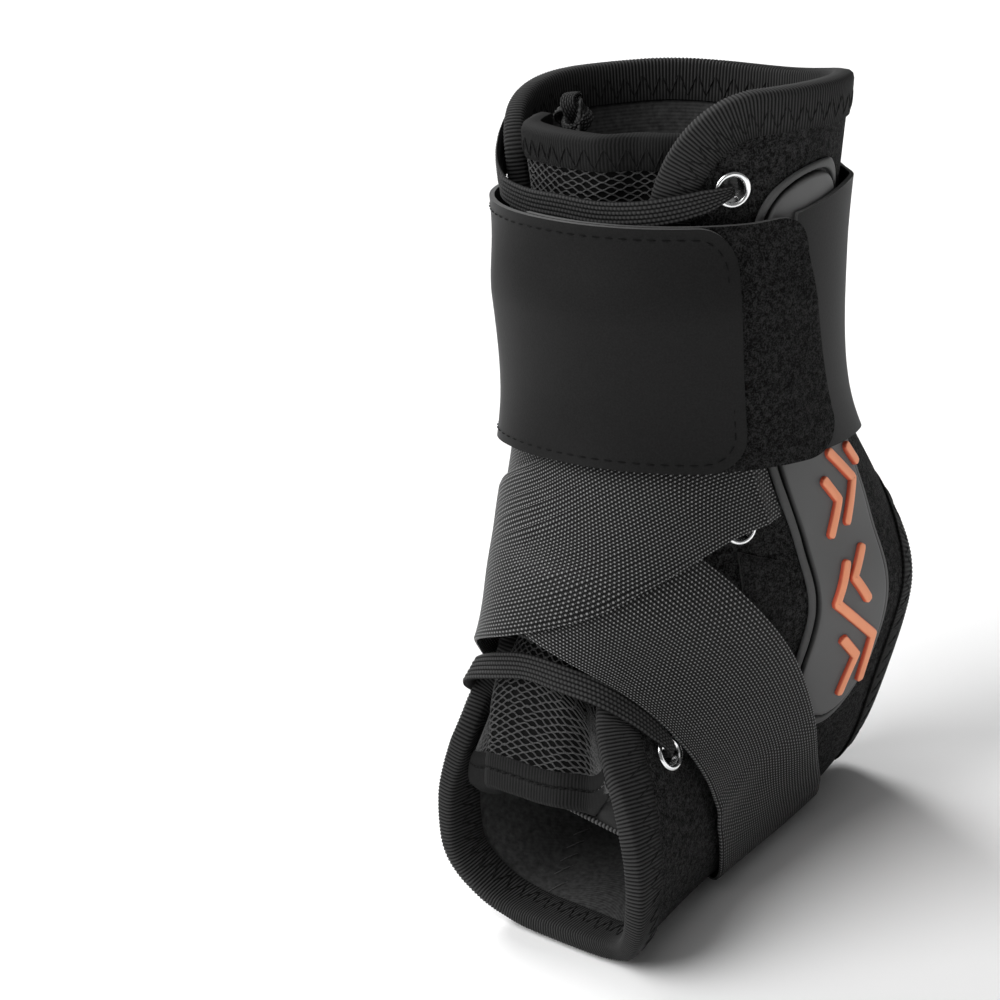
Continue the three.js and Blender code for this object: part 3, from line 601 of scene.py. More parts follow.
def laid_threads(starts, ends, normals, radius=THREAD_RADIUS, sides=6):
    """Threads from start to end points, dipping into the cloth at both ends."""
    share = np.linspace(0, 1, len(DIP))[None, :, None]
    dips = normals[:, None] * (DIP * radius)[None, :, None]
    paths = starts[:, None] + (ends - starts)[:, None] * share + dips
    return tubes(paths, np.repeat(normals[:, None], len(DIP), 1), SLIM * radius, sides)


def lockstitch(station, degrees, offset, stitch=2.6, gap=1.3, spacing=0.2):
    """Threads along a line on the surface, with the cloth's height above the shell."""
    values = np.stack(np.broadcast_arrays(station, degrees, offset), -1)
    rows, run = evenly(values, skin(*values.T), spacing)
    begin = np.arange(0, run[-1] - stitch, stitch + gap)

    def at(place):
        return np.stack([np.interp(place, run, column) for column in rows.T], -1)

    middle = at(begin + stitch / 2)
    normals = slopes(middle[:, 0], middle[:, 1])[0]
    return laid_threads(skin(*at(begin).T), skin(*at(begin + stitch).T), normals)


def join(parts):
    """Joins several points-and-faces pairs."""
    points, faces, first = [], [], 0
    for some_points, some_faces in parts:
        points.append(some_points)
        faces += [[n + first for n in face] for face in some_faces]
        first += len(some_points)
    return np.concatenate(points), faces


# %% [markdown]
# ## The padded shell
# The shell is foam between brushed loop cloth and a jersey lining, four millimetres thick. It is open
# down the front, at the toes and at the heel. Its rim sweeps down to the lacing edges. It is one grid
# over the surface, with the heel hole and the eyelet holes left out of the grid; tape and eyelets
# cover those edges, as they do on the real thing.

# %% Shell outline
LACING_EDGE = 36
OUTER_SWEEP = {"end": 75, "drop": 0.8}
INNER_SWEEP = {"end": 96, "drop": 0.42}
RIM = {"dip": 0.06, "back": 125, "tilt": 0.06}
TOE_CORNER = {"degrees": 14, "stations": 1.1}
TOE_BULGE = {"stations": 0.2, "full": 75, "fades": (95, 150)}
TOE_SPREAD = {"degrees": 11, "from": 4.5, "to": 7.5}
TOP_SPREAD = {"degrees": 8, "from": 1.3, "to": 2.3}
SPREAD_FROM = 230
HEEL_HOLE = {"station": 4.15, "stations": 1.1, "degrees": 49, "margin": 1.03}
EYELET_STATIONS = [0.47, 1.2, 1.97, 2.82, 5.4, 6.5]
EYELET_ANGLE = 65
HOLE_RADIUS = 4.2


def from_front(degrees):
    turned = np.mod(degrees, 360)
    return np.minimum(turned, 360 - turned)


def quarter_round(distance, radius):
    x = np.clip(1 - distance / radius, 0, 1)
    return 1 - np.sqrt(1 - x * x)


def rim_station(degrees):
    d = from_front(degrees)
    outer, inner = (sweep["drop"] * quarter_round(d - LACING_EDGE, sweep["end"] - LACING_EDGE)
                    for sweep in (OUTER_SWEEP, INNER_SWEEP))
    dip = RIM["dip"] * smooth(d, RIM["back"], 180)
    return np.where(degrees < 180, outer, inner) + dip - RIM["tilt"] * np.sin(np.radians(degrees))


def toe_station(degrees):
    d = from_front(degrees)
    fade = 1 - smooth(d, *TOE_BULGE["fades"])
    bulge = TOE_BULGE["stations"] * smooth(d, LACING_EDGE, TOE_BULGE["full"]) * fade
    return LAST + bulge - TOE_CORNER["stations"] * quarter_round(d - LACING_EDGE, TOE_CORNER["degrees"])


def spread(station, degrees):
    """The inner lacing edge lies further back at the toes and at the top."""
    toe = TOE_SPREAD["degrees"] * smooth(station, TOE_SPREAD["from"], TOE_SPREAD["to"])
    top = TOP_SPREAD["degrees"] * (1 - smooth(station, TOP_SPREAD["from"], TOP_SPREAD["to"]))
    return degrees - (toe + top) * smooth(degrees, SPREAD_FROM, 360 - LACING_EDGE)


def grid_lengths(points):
    """Millimetres across and along for each point of a grid."""
    across = np.linalg.norm(np.diff(points, axis=0, prepend=points[:1]), axis=-1).cumsum(0)
    along = np.linalg.norm(np.diff(points, axis=1, prepend=points[:, :1]), axis=-1).cumsum(1)
    return np.stack([across, along], -1)


print("lacing gap", 2 * LACING_EDGE, "degrees wide")

# %% Shell mesh
SHELL_COLUMNS = 192
SHELL_ROWS = 136

columns = np.linspace(LACING_EDGE, 360 - LACING_EDGE, SHELL_COLUMNS + 1)[:, None]
shell_station = mix(rim_station(columns), toe_station(columns), np.linspace(0, 1, SHELL_ROWS + 1)[None])
shell_degrees = spread(shell_station, np.broadcast_to(columns, shell_station.shape))
shell_outer = skin(shell_station, shell_degrees, 0.0)
shell_inner = skin(shell_station, shell_degrees, -SHELL_WALL)
cell_station = (shell_station[:-1, :-1] + shell_station[1:, 1:]) / 2
cell_degrees = (shell_degrees[:-1, :-1] + shell_degrees[1:, 1:]) / 2
heel_share = np.hypot((cell_station - HEEL_HOLE["station"]) / HEEL_HOLE["stations"],
                      (cell_degrees - 180) / HEEL_HOLE["degrees"])
shell_keep = heel_share > HEEL_HOLE["margin"]
cell_points = bare(cell_station, cell_degrees)
for station in EYELET_STATIONS:
    for degrees in (EYELET_ANGLE, 360 - EYELET_ANGLE):
        shell_keep &= np.linalg.norm(cell_points - bare(station, float(degrees)), axis=-1) > HOLE_RADIUS
shell = cloth_piece("padded_shell", shell_outer, shell_inner, [SHELL_LOOP, LINING], grid_lengths(shell_outer),
                    shell_keep)
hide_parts("shell")

# %% [markdown]
# ## Ribbed elastic tape
# Every cut edge is bound with elastic tape folded over it. The tape is woven with ribs across it, about
# one a millimetre, and they show along the whole silhouette, so they are in the mesh. The section below
# is the folded tape: how far in from the edge and how high over the shell. Each outer point moves out and
# in by the rib's height. Where the edge turns tightly, the tape reaches in less, so it can't fold over
# itself.

# %% Tape helpers
RIB_PITCH = 1.1
RIB_HEIGHT = 0.24
RIB_SAMPLES = 4
TAPE_WIDE = 10.4
HEEL_TAPE_WIDE = 8.6
TURN_REACH = 0.75
LEAST_TURN = 1e-3
PAST_EDGE = 10
# Columns: share of the tape's width in from the edge, more millimetres in, height, share of the rib.
TAPE_SECTION = np.array([
    [1, 0, 0.2, 0], [1, -0.2, 0.7, 0.6], [0.7, 0, 0.85, 1], [0.35, 0, 0.9, 1], [0, 0.5, 0.85, 1],
    [0, -0.6, 0.45, 1], [0, -1.1, -0.4, 1], [0, -1.25, -2, 1], [0, -1.1, -3.6, 1], [0, -0.6, -4.45, 1],
    [0, 0.5, -4.85, 1], [0.35, 0, -4.9, 1], [0.7, 0, -4.85, 1], [1, -0.2, -4.7, 0.6], [1, 0, -4.2, 0],
    [0.05, -0.6, -4.05, 0], [0.05, -0.6, 0.05, 0],
])


def swept_ring(name, rings, material, looped, crown=None):
    """A closed tube from rings of points, (step, place, 3), with its ends filled."""
    steps, places = rings.shape[:2]
    number = np.arange(steps * places).reshape(steps, places)
    here, nxt = (number, np.roll(number, -1, 0)) if looped else (number[:-1], number[1:])
    quads = np.stack([here, np.roll(here, -1, 1), np.roll(nxt, -1, 1), nxt], -1).reshape(-1, 4)
    points = rings.reshape(-1, 3)
    outward = facing_out(points, quads)
    faces = outward.tolist()
    if not looped:
        first, last = number[0].tolist(), number[-1].tolist()
        faces += [first[::-1], last] if outward is quads else [first, last[::-1]]
    return make_piece(name, points, faces, [material], crown=crown)


def tape_path(station, degrees, wide, look=2.0):
    """Even steps along a looped edge: places, the way into the cloth, and how far the tape reaches in."""
    values = np.stack([station, degrees], -1)
    rows, run = evenly(values, bare(station, degrees), RIB_PITCH / RIB_SAMPLES)
    rows = rows[:-1]
    step = run[1]
    near = round(look / step)
    points = bare(rows[:, 0], rows[:, 1])
    tangent = unit(np.roll(points, -near, 0) - np.roll(points, near, 0))
    inward = np.cross(slopes(rows[:, 0], rows[:, 1])[0], tangent)
    turning = ((np.roll(tangent, -near, 0) - np.roll(tangent, near, 0)) * inward).sum(-1) / (2 * near * step)
    reach = np.minimum(wide, TURN_REACH / np.maximum(turning, LEAST_TURN))
    window = 4 * near
    padded = np.concatenate([reach[-window:], reach, reach[:window]])
    low = np.array([padded[n:n + 2 * window + 1].min() for n in range(len(reach))])
    padded = np.concatenate([low[-window:], low, low[:window]])
    even = np.convolve(padded, np.full(2 * window + 1, 1 / (2 * window + 1)), "valid")
    return rows, inward, even


def tape(name, station, degrees, wide):
    """Tape folded over a looped edge, walked with the cloth on the left. Ribs stand out past the edge too."""
    rows, inward, reach = tape_path(station, degrees, wide)
    ribs = round(len(rows) / RIB_SAMPLES)
    rib = 0.5 - 0.5 * np.cos(2 * math.pi * ribs * np.arange(len(rows)) / len(rows))
    rings, crowns = [], []
    for share, more, height, ribbed in TAPE_SECTION:
        lift = RIB_HEIGHT * ribbed * rib
        outer = np.clip(-share * PAST_EDGE - more, 0, 1)
        where = walk(rows[:, 0], rows[:, 1], inward, share * reach + more - lift * outer)
        rings.append(skin(*where, height + np.clip(height + SHELL_WALL / 2, -1, 1) * lift))
        # The crown value paints shade between the tape's ribs and a highlight on them.
        crowns.append(rib * ribbed)
    piece = swept_ring(name, np.stack(rings, 1), TAPE, True, np.stack(crowns, 1).ravel())
    return piece, rows, inward, reach


def shell_edge(count=900):
    """The shell's edge as a loop: rim, inner lacing edge, toe edge, outer lacing edge."""
    round_way = np.linspace(LACING_EDGE, 360 - LACING_EDGE, count)
    down = np.linspace(0, 1, count)[1:-1]
    first, last = float(LACING_EDGE), 360.0 - LACING_EDGE
    rim = np.stack([rim_station(round_way), round_way], -1)
    toe = np.stack([toe_station(round_way), round_way], -1)[::-1]
    inner = np.stack([mix(rim_station(last), toe_station(last), down), np.full(count - 2, last)], -1)
    outer = np.stack([mix(toe_station(first), rim_station(first), down), np.full(count - 2, first)], -1)
    edge = np.concatenate([rim, inner, toe, outer])[::-1]
    edge = np.concatenate([edge, edge[:1]])
    return edge[:, 0], spread(edge[:, 0], edge[:, 1])


def heel_edge(count=400):
    turn = -np.linspace(0, 2 * math.pi, count)
    station = HEEL_HOLE["station"] + HEEL_HOLE["stations"] * np.cos(turn)
    return station, 180 + HEEL_HOLE["degrees"] * np.sin(turn)


print("ribs every", RIB_PITCH, "mm,", RIB_HEIGHT, "mm high")

# %% Edge and heel tape
edge_tape, *edge_line = tape("edge_tape", *shell_edge(), TAPE_WIDE)
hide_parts("edge_binding")
heel_tape, *heel_line = tape("heel_tape", *heel_edge(), HEEL_TAPE_WIDE)
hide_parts("heel_binding")

# %% Zigzag stitches on the tape
ZIGZAG = {"near": 0.25, "far": 0.86, "step": 3.1, "radius": 0.18, "sides": 4, "heights": (1.0, -5.0)}


def zigzag(rows, inward, reach, height):
    every = round(ZIGZAG["step"] * RIB_SAMPLES / RIB_PITCH)
    picked = np.arange(0, len(rows) - every, every)
    share = np.where(np.arange(len(picked)) % 2, ZIGZAG["near"], ZIGZAG["far"])
    station, degrees = walk(rows[picked, 0], rows[picked, 1], inward[picked], share * reach[picked])
    points = skin(station, degrees, height)
    normals = slopes(station, degrees)[0] * np.sign(height + SHELL_WALL / 2)
    return laid_threads(points[:-1], points[1:], normals[:-1], ZIGZAG["radius"], ZIGZAG["sides"])


threads = [zigzag(*line, height) for line in (edge_line, heel_line) for height in ZIGZAG["heights"]]
tape_threads = make_piece("tape_zigzag_thread", *join(threads), [TAPE_THREAD])

# %% [markdown]
# ## The tongue
# The tongue is a spacer-mesh pad behind the lacing gap. Its face is a net of yarns that part and meet
# in turn and leave lozenge holes about four millimetres wide. The net is real thread here, laid over a
# pad painted near black as the shade in the net's holes: each yarn swings up and down, and its neighbour
# swings the other way, so they touch at every second turn. Only the stretches that the straps and the
# cuff leave open have the net.

# %% Tongue surface
# Columns: station, depth under the shell's face, hang past the toe edge, half width, crown, how open.
TONGUE = np.array([
    [0.18, 8, 0, 41, 5, 1], [1.5, 7.4, 0, 36, 3.6, 0.5], [3, 7, 0, 33, 3.2, 0], [5, 7, 0, 32, 3.2, 0],
    [6.8, 7.2, 0, 33, 4.4, 0.6], [7.9, 7.2, 0, 38, 5, 1], [8, 6.8, 12, 40, 5.2, 1], [8, 6.4, 30, 40, 5, 1],
])
TONGUE_WALL = 4
CROWN_CLOSED = {"flat": 8, "edge": 27, "aside": 0}
CROWN_OPEN = {"flat": 18, "edge": 36, "aside": -5}
TONGUE_HANG = np.array([0, -0.3, -0.95])
HANG_LOSS = {"inner": 0.8, "outer": 1.2}
INNER_WIDEN = {"share": 0.42, "from": 6.9, "to": 8}
OUTER_WIDEN = {"share": 0.28, "from": 0.8, "to": 2}
TONGUE_ENDS = (0.006, 0.985)
TONGUE_GRID = (141, 49)


def tongue_point(s, v, depth):
    """s runs 0 to 1 down the tongue, v across it from -1 to 1; depth 0 is its outer face."""
    s, v, depth = np.broadcast_arrays(np.asarray(s, float), np.asarray(v, float), np.asarray(depth, float))
    station, sink, hang, half, rise, opening = np.moveaxis(through(TONGUE, s, even=True), -1, 0)
    at = np.minimum(station, LAST)
    inner, outer = (smooth(at, widen["from"], widen["to"]) for widen in (INNER_WIDEN, OUTER_WIDEN))
    widen = np.where(v < 0, INNER_WIDEN["share"] * inner, OUTER_WIDEN["share"] * (1 - outer + inner))
    degrees = v * half * (1 + widen) / np.linalg.norm(slopes(at, np.zeros_like(at))[2], axis=-1)
    flat, edge, aside = (mix(closed, CROWN_OPEN[key], opening) for key, closed in CROWN_CLOSED.items())
    crown = rise * (1 - smooth(np.abs(degrees - aside), flat, edge))
    loss = np.where(v < 0, HANG_LOSS["inner"], HANG_LOSS["outer"]) * v * v
    return skin(at, degrees, crown - sink - depth) + TONGUE_HANG * (hang * (1 - loss))[..., None]


down = np.linspace(*TONGUE_ENDS, TONGUE_GRID[0])[:, None]
over = np.linspace(-1, 1, TONGUE_GRID[1])[None]
pad_outer = tongue_point(down, over, 0.0)
tongue = cloth_piece("tongue_spacer", pad_outer, tongue_point(down, over, TONGUE_WALL), [NET_GROUND_SHADE, LINING],
                     grid_lengths(pad_outer))
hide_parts("tongue_pad")

# %% Spacer net
NET = {"wide": 4.7, "tall": 1.1, "swing": 0.47, "radius": 0.24, "sides": 5, "lift": 0.25, "samples": 8,
       "across": 80, "edge": 0.985, "uneven": 0.15}
NET_OPEN = [(0.02, 0.1), (0.43, 0.93)]
# The yarns wander in two slow waves. Columns: radians in a millimetre down, radians in a half width across.
NET_WAVES = [(2.3, 17), (3.7, -29)]
TONGUE_SAMPLES = 600

tongue_share = np.linspace(*TONGUE_ENDS, TONGUE_SAMPLES)
tongue_run = lengths(tongue_point(tongue_share, 0.0, 0.0))
net_rows = np.arange(NET["tall"], tongue_run[-1], NET["tall"])
row_share = np.interp(net_rows, tongue_run, tongue_share)
net_rows = net_rows[np.any([(row_share > low) & (row_share < high) for low, high in NET_OPEN], axis=0)]
net_across = np.linspace(-NET["edge"], NET["edge"], round(NET["across"] / NET["wide"] * NET["samples"]))
swing = np.cos(np.arange(len(net_across)) * 2 * math.pi / NET["samples"]) * NET["swing"] * NET["tall"]
sign = np.where(np.round(net_rows / NET["tall"]) % 2, 1, -1)[:, None]
net_wander = sum(np.sin(by_row * net_rows[:, None] + by_width * net_across) for by_row, by_width in NET_WAVES)
net_along = net_rows[:, None] + sign * swing + NET["uneven"] * net_wander
net_place = np.interp(net_along, tongue_run, tongue_share)
net_paths = tongue_point(net_place, net_across[None], -NET["lift"])
net_normals = unit(net_paths - tongue_point(net_place, net_across[None], 1.0))
net_tubes = tubes(net_paths, net_normals, np.full(len(net_across), NET["radius"]), NET["sides"])
net = make_piece("tongue_net", *net_tubes, [NET_YARN])

# %% Tape over the tongue's ends
TONGUE_TAPE_OUT = 1.0
TONGUE_RIB = 0.85
TONGUE_RIB_SHARE = 0.6
# Millimetres: how far the tape stands past the end, its width, and its seam's distance from the end.
TOP_TAPE = {"end": TONGUE_ENDS[0], "inwards": 1, "past": 2.2, "wide": 7.5, "seam": 4, "notch": 1,
            "swing": 2.8}
TOE_TAPE = {"end": TONGUE_ENDS[1], "inwards": -1, "past": 1.6, "wide": 9, "seam": 4.6, "notch": 0.45,
            "swing": 0}
TAPE_SEARCH = {"share": 0.3, "samples": 100, "across": 60}
TAPE_EDGE = 1.01
TAPE_CORNER = {"width": 0.07, "cut": 0.5}
TONGUE_STITCH = {"thread": 0.045, "gap": 0.025, "inset": 0.07, "sunk": 0.5, "lift": 0.1}


def in_from(end, inwards, v):
    """A function from millimetres in from an end to the share down the tongue, for each v."""
    share = end + inwards * np.linspace(0, TAPE_SEARCH["share"], TAPE_SEARCH["samples"])
    gaps = np.linalg.norm(np.diff(tongue_point(share[:, None], v[None], 0.0), axis=0), axis=-1)
    runs = np.concatenate([np.zeros((1, len(v))), gaps.cumsum(0)])

    def at(distance):
        each = np.broadcast_to(distance, len(v))
        return np.array([np.interp(d, run, share) for d, run in zip(each, runs.T)])

    return at


def tongue_tape(name, node, end, inwards, past, wide, seam, notch, swing):
    """Ribbed tape folded over one end of the tongue; its stitches swing to both sides of its seam."""
    out, wall = TONGUE_TAPE_OUT, TONGUE_WALL
    # Columns: millimetres in from the end, millimetres past it, depth, share of the rib.
    section = np.array([
        [wide, 0, -0.2, 0], [wide, 0, -0.8 * out, 0.6], [(wide + seam) / 2, 0, -out, 1],
        [seam + 0.5, 0, -out, 1], [seam, 0, -notch * out, notch], [seam - 0.5, 0, -out, 1],
        [0, 0, -out, 1], [0, 0.7 * past, -0.4 * out, 1],
        [0, past, 0.5 * wall, 1], [0, 0.7 * past, wall + 0.4 * out, 1], [0, 0, wall + out, 1],
        [wide, 0, wall + 0.8 * out, 1], [wide, 0, wall + 0.2, 0], [0, 0, wall + 0.15, 0], [0, 0, -0.15, 0],
    ])
    width = lengths(tongue_point(end, np.linspace(-1, 1, TAPE_SEARCH["across"]), 0.0))[-1]
    v = np.linspace(-TAPE_EDGE, TAPE_EDGE, round(width / TONGUE_RIB * RIB_SAMPLES))
    rib = 0.5 - 0.5 * np.cos(2 * math.pi * (v + 1) / 2 * width / TONGUE_RIB)
    cut = TAPE_CORNER["cut"] * quarter_round(TAPE_EDGE - np.abs(v), TAPE_CORNER["width"])
    hang = -inwards * TONGUE_HANG
    place_at = in_from(end, inwards, v)
    rings, crowns = [], []
    for inner, beyond, depth, ribbed in section:
        place = place_at(mix(inner, wide, cut))
        lift = np.clip(depth - wall / 2, -1, 1) * TONGUE_RIB_SHARE * RIB_HEIGHT * ribbed * rib
        rings.append(tongue_point(place, v, depth + lift) + hang * (beyond * (1 - cut))[:, None])
        # The crown value paints shade between the tape's ribs and a highlight on them.
        crowns.append(rib * ribbed)
    piece = swept_ring(name, np.stack(rings, 1), TONGUE_TAPE, False, np.stack(crowns, 1).ravel())
    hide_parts(node)
    limit = 1 - TONGUE_STITCH["inset"]
    begin = np.arange(-limit, limit, TONGUE_STITCH["thread"] + TONGUE_STITCH["gap"])
    height = -mix(TONGUE_STITCH["sunk"], 1, notch) * out - TONGUE_STITCH["lift"]
    turn = np.where(np.arange(len(begin)) % 2, swing, -swing)
    reach = TONGUE_STITCH["thread"] + (TONGUE_STITCH["gap"] if swing else 0)
    stitch_ends = [tongue_point(in_from(end, inwards, at)(seam + aside), at, height)
                   for at, aside in ((begin, turn), (begin + reach, -turn))]
    stitch_under = tongue_point(in_from(end, inwards, begin)(seam + turn), begin, 1.0)
    stitches = laid_threads(*stitch_ends, unit(stitch_ends[0] - stitch_under))
    make_piece(name + "_thread", *stitches, [TAPE_THREAD])


tongue_tape("tongue_top_tape", "tongue_top_binding", **TOP_TAPE)
tongue_tape("tongue_toe_tape", "tongue_toe_binding", **TOE_TAPE)

# %% [markdown]
# At the toe the tongue's lining is cut longer than its face on the outer side. It hangs below the tape as
# a dark triangle whose lower edge runs straight to the shell's inner face. That edge is overcast with
# thread, which shows as a row of beads. On the inner sole a short row of tacking stitches shows.

# %% Longer lining at the toe
LINING_EDGE = {"sink": 0.6, "wall": 0.8, "lift": 0.4}
HEM_END = {"station": 7.78, "degrees": 79, "offset": -7}
HEM_GRID = (41, 9)
BEAD = {"pitch": 1.3, "radius": 0.75, "slim": 0.75, "samples": 6, "sides": 8}
# Columns: station, degrees.
TACKS = np.array([[7.12, 233], [7.26, 229], [7.4, 224], [7.54, 218], [7.72, 208]])
TACK_REACH = np.array([-0.17, -1.2])

hem_v = np.linspace(0, 1, HEM_GRID[0])
lining_top = tongue_point(TONGUE_ENDS[1], hem_v, TONGUE_WALL + LINING_EDGE["sink"])
hem_end = skin(HEM_END["station"], float(HEM_END["degrees"]), HEM_END["offset"])
hem_line = mix(lining_top[0], hem_end, hem_v[:, None]) - [0, 0, LINING_EDGE["lift"]]
lining_outer = mix(lining_top[:, None], hem_line[:, None], np.linspace(0, 1, HEM_GRID[1])[None, :, None])
lining_inner = lining_outer + [0, LINING_EDGE["wall"], 0]
lining_edge = cloth_piece("tongue_lining_edge", lining_outer, lining_inner, [LAMINATE],
                          grid_lengths(lining_outer))
bead_rows, bead_run = evenly(hem_line, hem_line, BEAD["pitch"] / BEAD["samples"])
bead_swell = 0.5 - 0.5 * np.cos(2 * math.pi * bead_run / BEAD["pitch"])
bead_normals = np.broadcast_to(back, bead_rows.shape)
bead_radius = BEAD["radius"] * mix(BEAD["slim"], 1, bead_swell)
bead_tube = tubes(bead_rows[None], bead_normals[None], bead_radius, BEAD["sides"])
# The beads' swell, as their crown, paints a highlight on each bead and shade between them.
beads = make_piece("tongue_overcast_edge", *bead_tube, [OVERCAST], crown=np.repeat(bead_swell, BEAD["sides"]))

tack_ends = [skin(*place.T, -SHELL_WALL) for place in (TACKS, TACKS + TACK_REACH)]
tacks = laid_threads(*tack_ends, -slopes(*TACKS.T)[0])
make_piece("sole_tack_thread", *tacks, [TACK_THREAD])

# %% [markdown]
# ## Eyelets
# Each eyelet is a short plated tube whose rim is rolled over. A ring of circles round the hole gives the
# rolled rim, and the tube goes down through the wall.

# %% Eyelet rings
EYELET_SIDES = 48
# Columns: radius, height over the shell's outer face.
EYELET_PROFILE = np.array([
    [3.25, -4.2], [3.6, -4.2], [3.65, 0.1], [4.6, 0.2], [4.95, 0.45], [5.05, 0.85], [4.9, 1.25], [4.55, 1.5],
    [4.15, 1.5], [3.75, 1.3], [3.45, 0.9], [3.3, 0.3],
])


def eyelet(name, node, station, degrees):
    station, degrees = np.array(station), np.array(float(degrees))
    normal, along, _ = slopes(station, degrees)
    x = unit(along)
    y = np.cross(normal, x)
    turn = np.arange(EYELET_SIDES)[:, None] * 2 * math.pi / EYELET_SIDES
    flat = np.cos(turn)[..., None] * x + np.sin(turn)[..., None] * y
    out, up = EYELET_PROFILE[None, :, :1], EYELET_PROFILE[None, :, 1:]
    rings = skin(station, degrees, 0.0) + flat * out + normal * up
    piece = swept_ring(name, rings, NICKEL, True)
    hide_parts(node)


for side, sign in (("outer", 1), ("inner", -1)):
    for n, station in enumerate(EYELET_STATIONS, 1):
        eyelet(f"eyelet_ring_{side}_{n}", f"eyelet_{side}_{n}", station, sign * EYELET_ANGLE)

# %% [markdown]
# ## The lace
# One flat lace runs straight across the tongue from eyelet to eyelet, goes behind the shell to the next
# pair, and its tail is tucked behind the tongue, where it ends in a knot. It is woven in six ribs along
# its length, each a row of small bumps, so its section is scalloped. Where it squeezes through an eyelet
# it bunches up. A second strand of it lies beside the top rung.

# %% Lace route
LACE = {"width": 7.4, "bunched": 2.4, "thick": 1.2, "gathered": 1.6, "over": 2.65, "under": -5.8,
        "slack": -0.6}
RUNG_SAG = [0.16, 0, 0, 0, -0.1, 0.2]
RUNG_LEAN = [0, 0, 0, 0, 0.3, -0.35]
LEAN_DEGREES = 40
# Through the eyelet, columns: degrees from its middle, offset, bunching.
RUNG_HOLE = [[0, LACE["under"], 1], [0, -1.6, 1], [-1, 2.2, 0.9]]
# Over the edge, columns: degrees from the front, share of the sag, offset, bunching.
RUNG_OVER = [[55, 0.3, LACE["over"], 0.2], [44, 0.6, LACE["over"], 0], [33, 0.8, LACE["over"], 0],
             [17, 1, 0.4, 0]]
BETWEEN_RUNGS = {"shares": (0.33, 0.67), "bunching": 0.6}
# Columns: station, degrees, offset, bunching.
LACE_TAIL = [[0.3, -14, -15, 0.5], [0.17, -19, -18, 0], [0.2, -30, -19.5, 0], [0.32, -43, -18, 0.3],
             [0.42, -56, -15, 0.7], [0.46, -65, -9, 1]]
SECOND_STRAND = [[0.16, -84, 2.2, 0.2], [0.27, -70, 2.6, 0.1], [0.41, -55, 2.9, 0], [0.55, -38, 2.9, 0],
                 [0.69, -20, 0.3, 0], [0.79, 0, -1.4, 0], [0.83, 20, 0.2, 0], [0.84, 38, 2.4, 0],
                 [0.85, 56, 2.4, 0.2]]


def rung(n, station):
    start = 1 if n % 2 else -1

    def place(degrees, share):
        return station + share * (RUNG_SAG[n] + RUNG_LEAN[n] * degrees / LEAN_DEGREES)

    def half(side):
        hole = [[station, side * (EYELET_ANGLE + turn), *rest] for turn, *rest in RUNG_HOLE]
        return hole + [[place(side * d, share), side * d, *rest] for d, share, *rest in RUNG_OVER]

    return half(start) + [[place(0, 1), 0, LACE["slack"], 0]] + half(-start)[::-1], -start


def lace_route():
    route = list(LACE_TAIL)
    for n, station in enumerate(EYELET_STATIONS):
        points, end = rung(n, station)
        route += points
        for share in BETWEEN_RUNGS["shares"] if n + 1 < len(EYELET_STATIONS) else ():
            between = mix(station, EYELET_STATIONS[n + 1], share)
            route.append([between, end * EYELET_ANGLE, LACE["under"], BETWEEN_RUNGS["bunching"]])
    return np.array(route)


print("lace through", len(lace_route()), "points")

# %% Lace mesh
LACE_STEP = 0.4
LACE_RIBS = 6
LACE_BUMP = 1.25
LACE_RELIEF = 0.3
RIB_POINTS = 4
SQUARENESS = 8
ROUTE_SAMPLES = 40
UPRIGHT = 0.35


def lace_frames(route):
    """Centre points and the way across at each point of a route."""
    points = skin(route[:, 0], route[:, 1], route[:, 2])
    normals = slopes(route[:, 0], route[:, 1])[0]
    tangent = unit(np.gradient(points, axis=0))
    side = np.zeros(3)
    sides = []
    for t, n in zip(tangent, normals):
        across = np.cross(t, n)
        if np.linalg.norm(across) > UPRIGHT:
            side = across
        side = side - t * side.dot(t)
        side = side / np.linalg.norm(side)
        sides.append(side)
    return points, np.array(sides)


def lace_section():
    """Across and up, from -1 to 1, of the scalloped section, with each point's rib and scallop."""
    x = np.linspace(-1, 1, LACE_RIBS * RIB_POINTS + 1)
    edge = np.clip(1 - np.abs(x) ** SQUARENESS, 0, 1) ** 0.5
    scallop = np.abs(np.sin((x + 1) / 2 * LACE_RIBS * math.pi))
    up = edge * (0.5 + 0.5 * scallop)
    rib = np.minimum(((x + 1) / 2 * LACE_RIBS).astype(int), LACE_RIBS - 1)
    under = slice(-3, 1, -RIB_POINTS)
    return [np.concatenate([a, sign * a[under]]) for a, sign in ((x, 1), (up, -1), (rib, 1), (scallop, 1))]


def lace_sweep(name, points, sides, bunching, width=LACE["width"]):
    """Flat woven lace through points, with the way across and the bunching at each."""
    dense = np.linspace(0, 1, ROUTE_SAMPLES * len(points))
    at, run = evenly(dense[:, None], through(points, dense), LACE_STEP)
    at = at[:, 0]
    line = through(points, at)
    bunched = np.interp(at, np.linspace(0, 1, len(points)), bunching)
    tangent = unit(np.gradient(line, axis=0))
    across = through(sides, at, even=True)
    across = unit(across - (across * tangent).sum(-1, keepdims=True) * tangent)
    lift = np.cross(across, tangent)
    x, up, rib, scallop = lace_section()
    wave = np.sin(2 * math.pi * run[:, None] / LACE_BUMP + math.pi * rib)
    half = mix(width, LACE["bunched"], bunched)[:, None] / 2
    thick = mix(LACE["thick"], LACE["gathered"], bunched)[:, None] / 2
    rings = (line[:, None] + across[:, None] * (half * x)[..., None]
             + lift[:, None] * (thick * up * (1 + LACE_RELIEF * scallop * wave))[..., None])
    # The crown value paints shade between the lace's ribs and bumps and a highlight on them.
    crown = scallop * (0.6 + 0.4 * wave)
    piece = swept_ring(name, rings, LACE_CLOTH, False, crown.ravel())
    print(name, round(run[-1]), "mm long")
    return piece


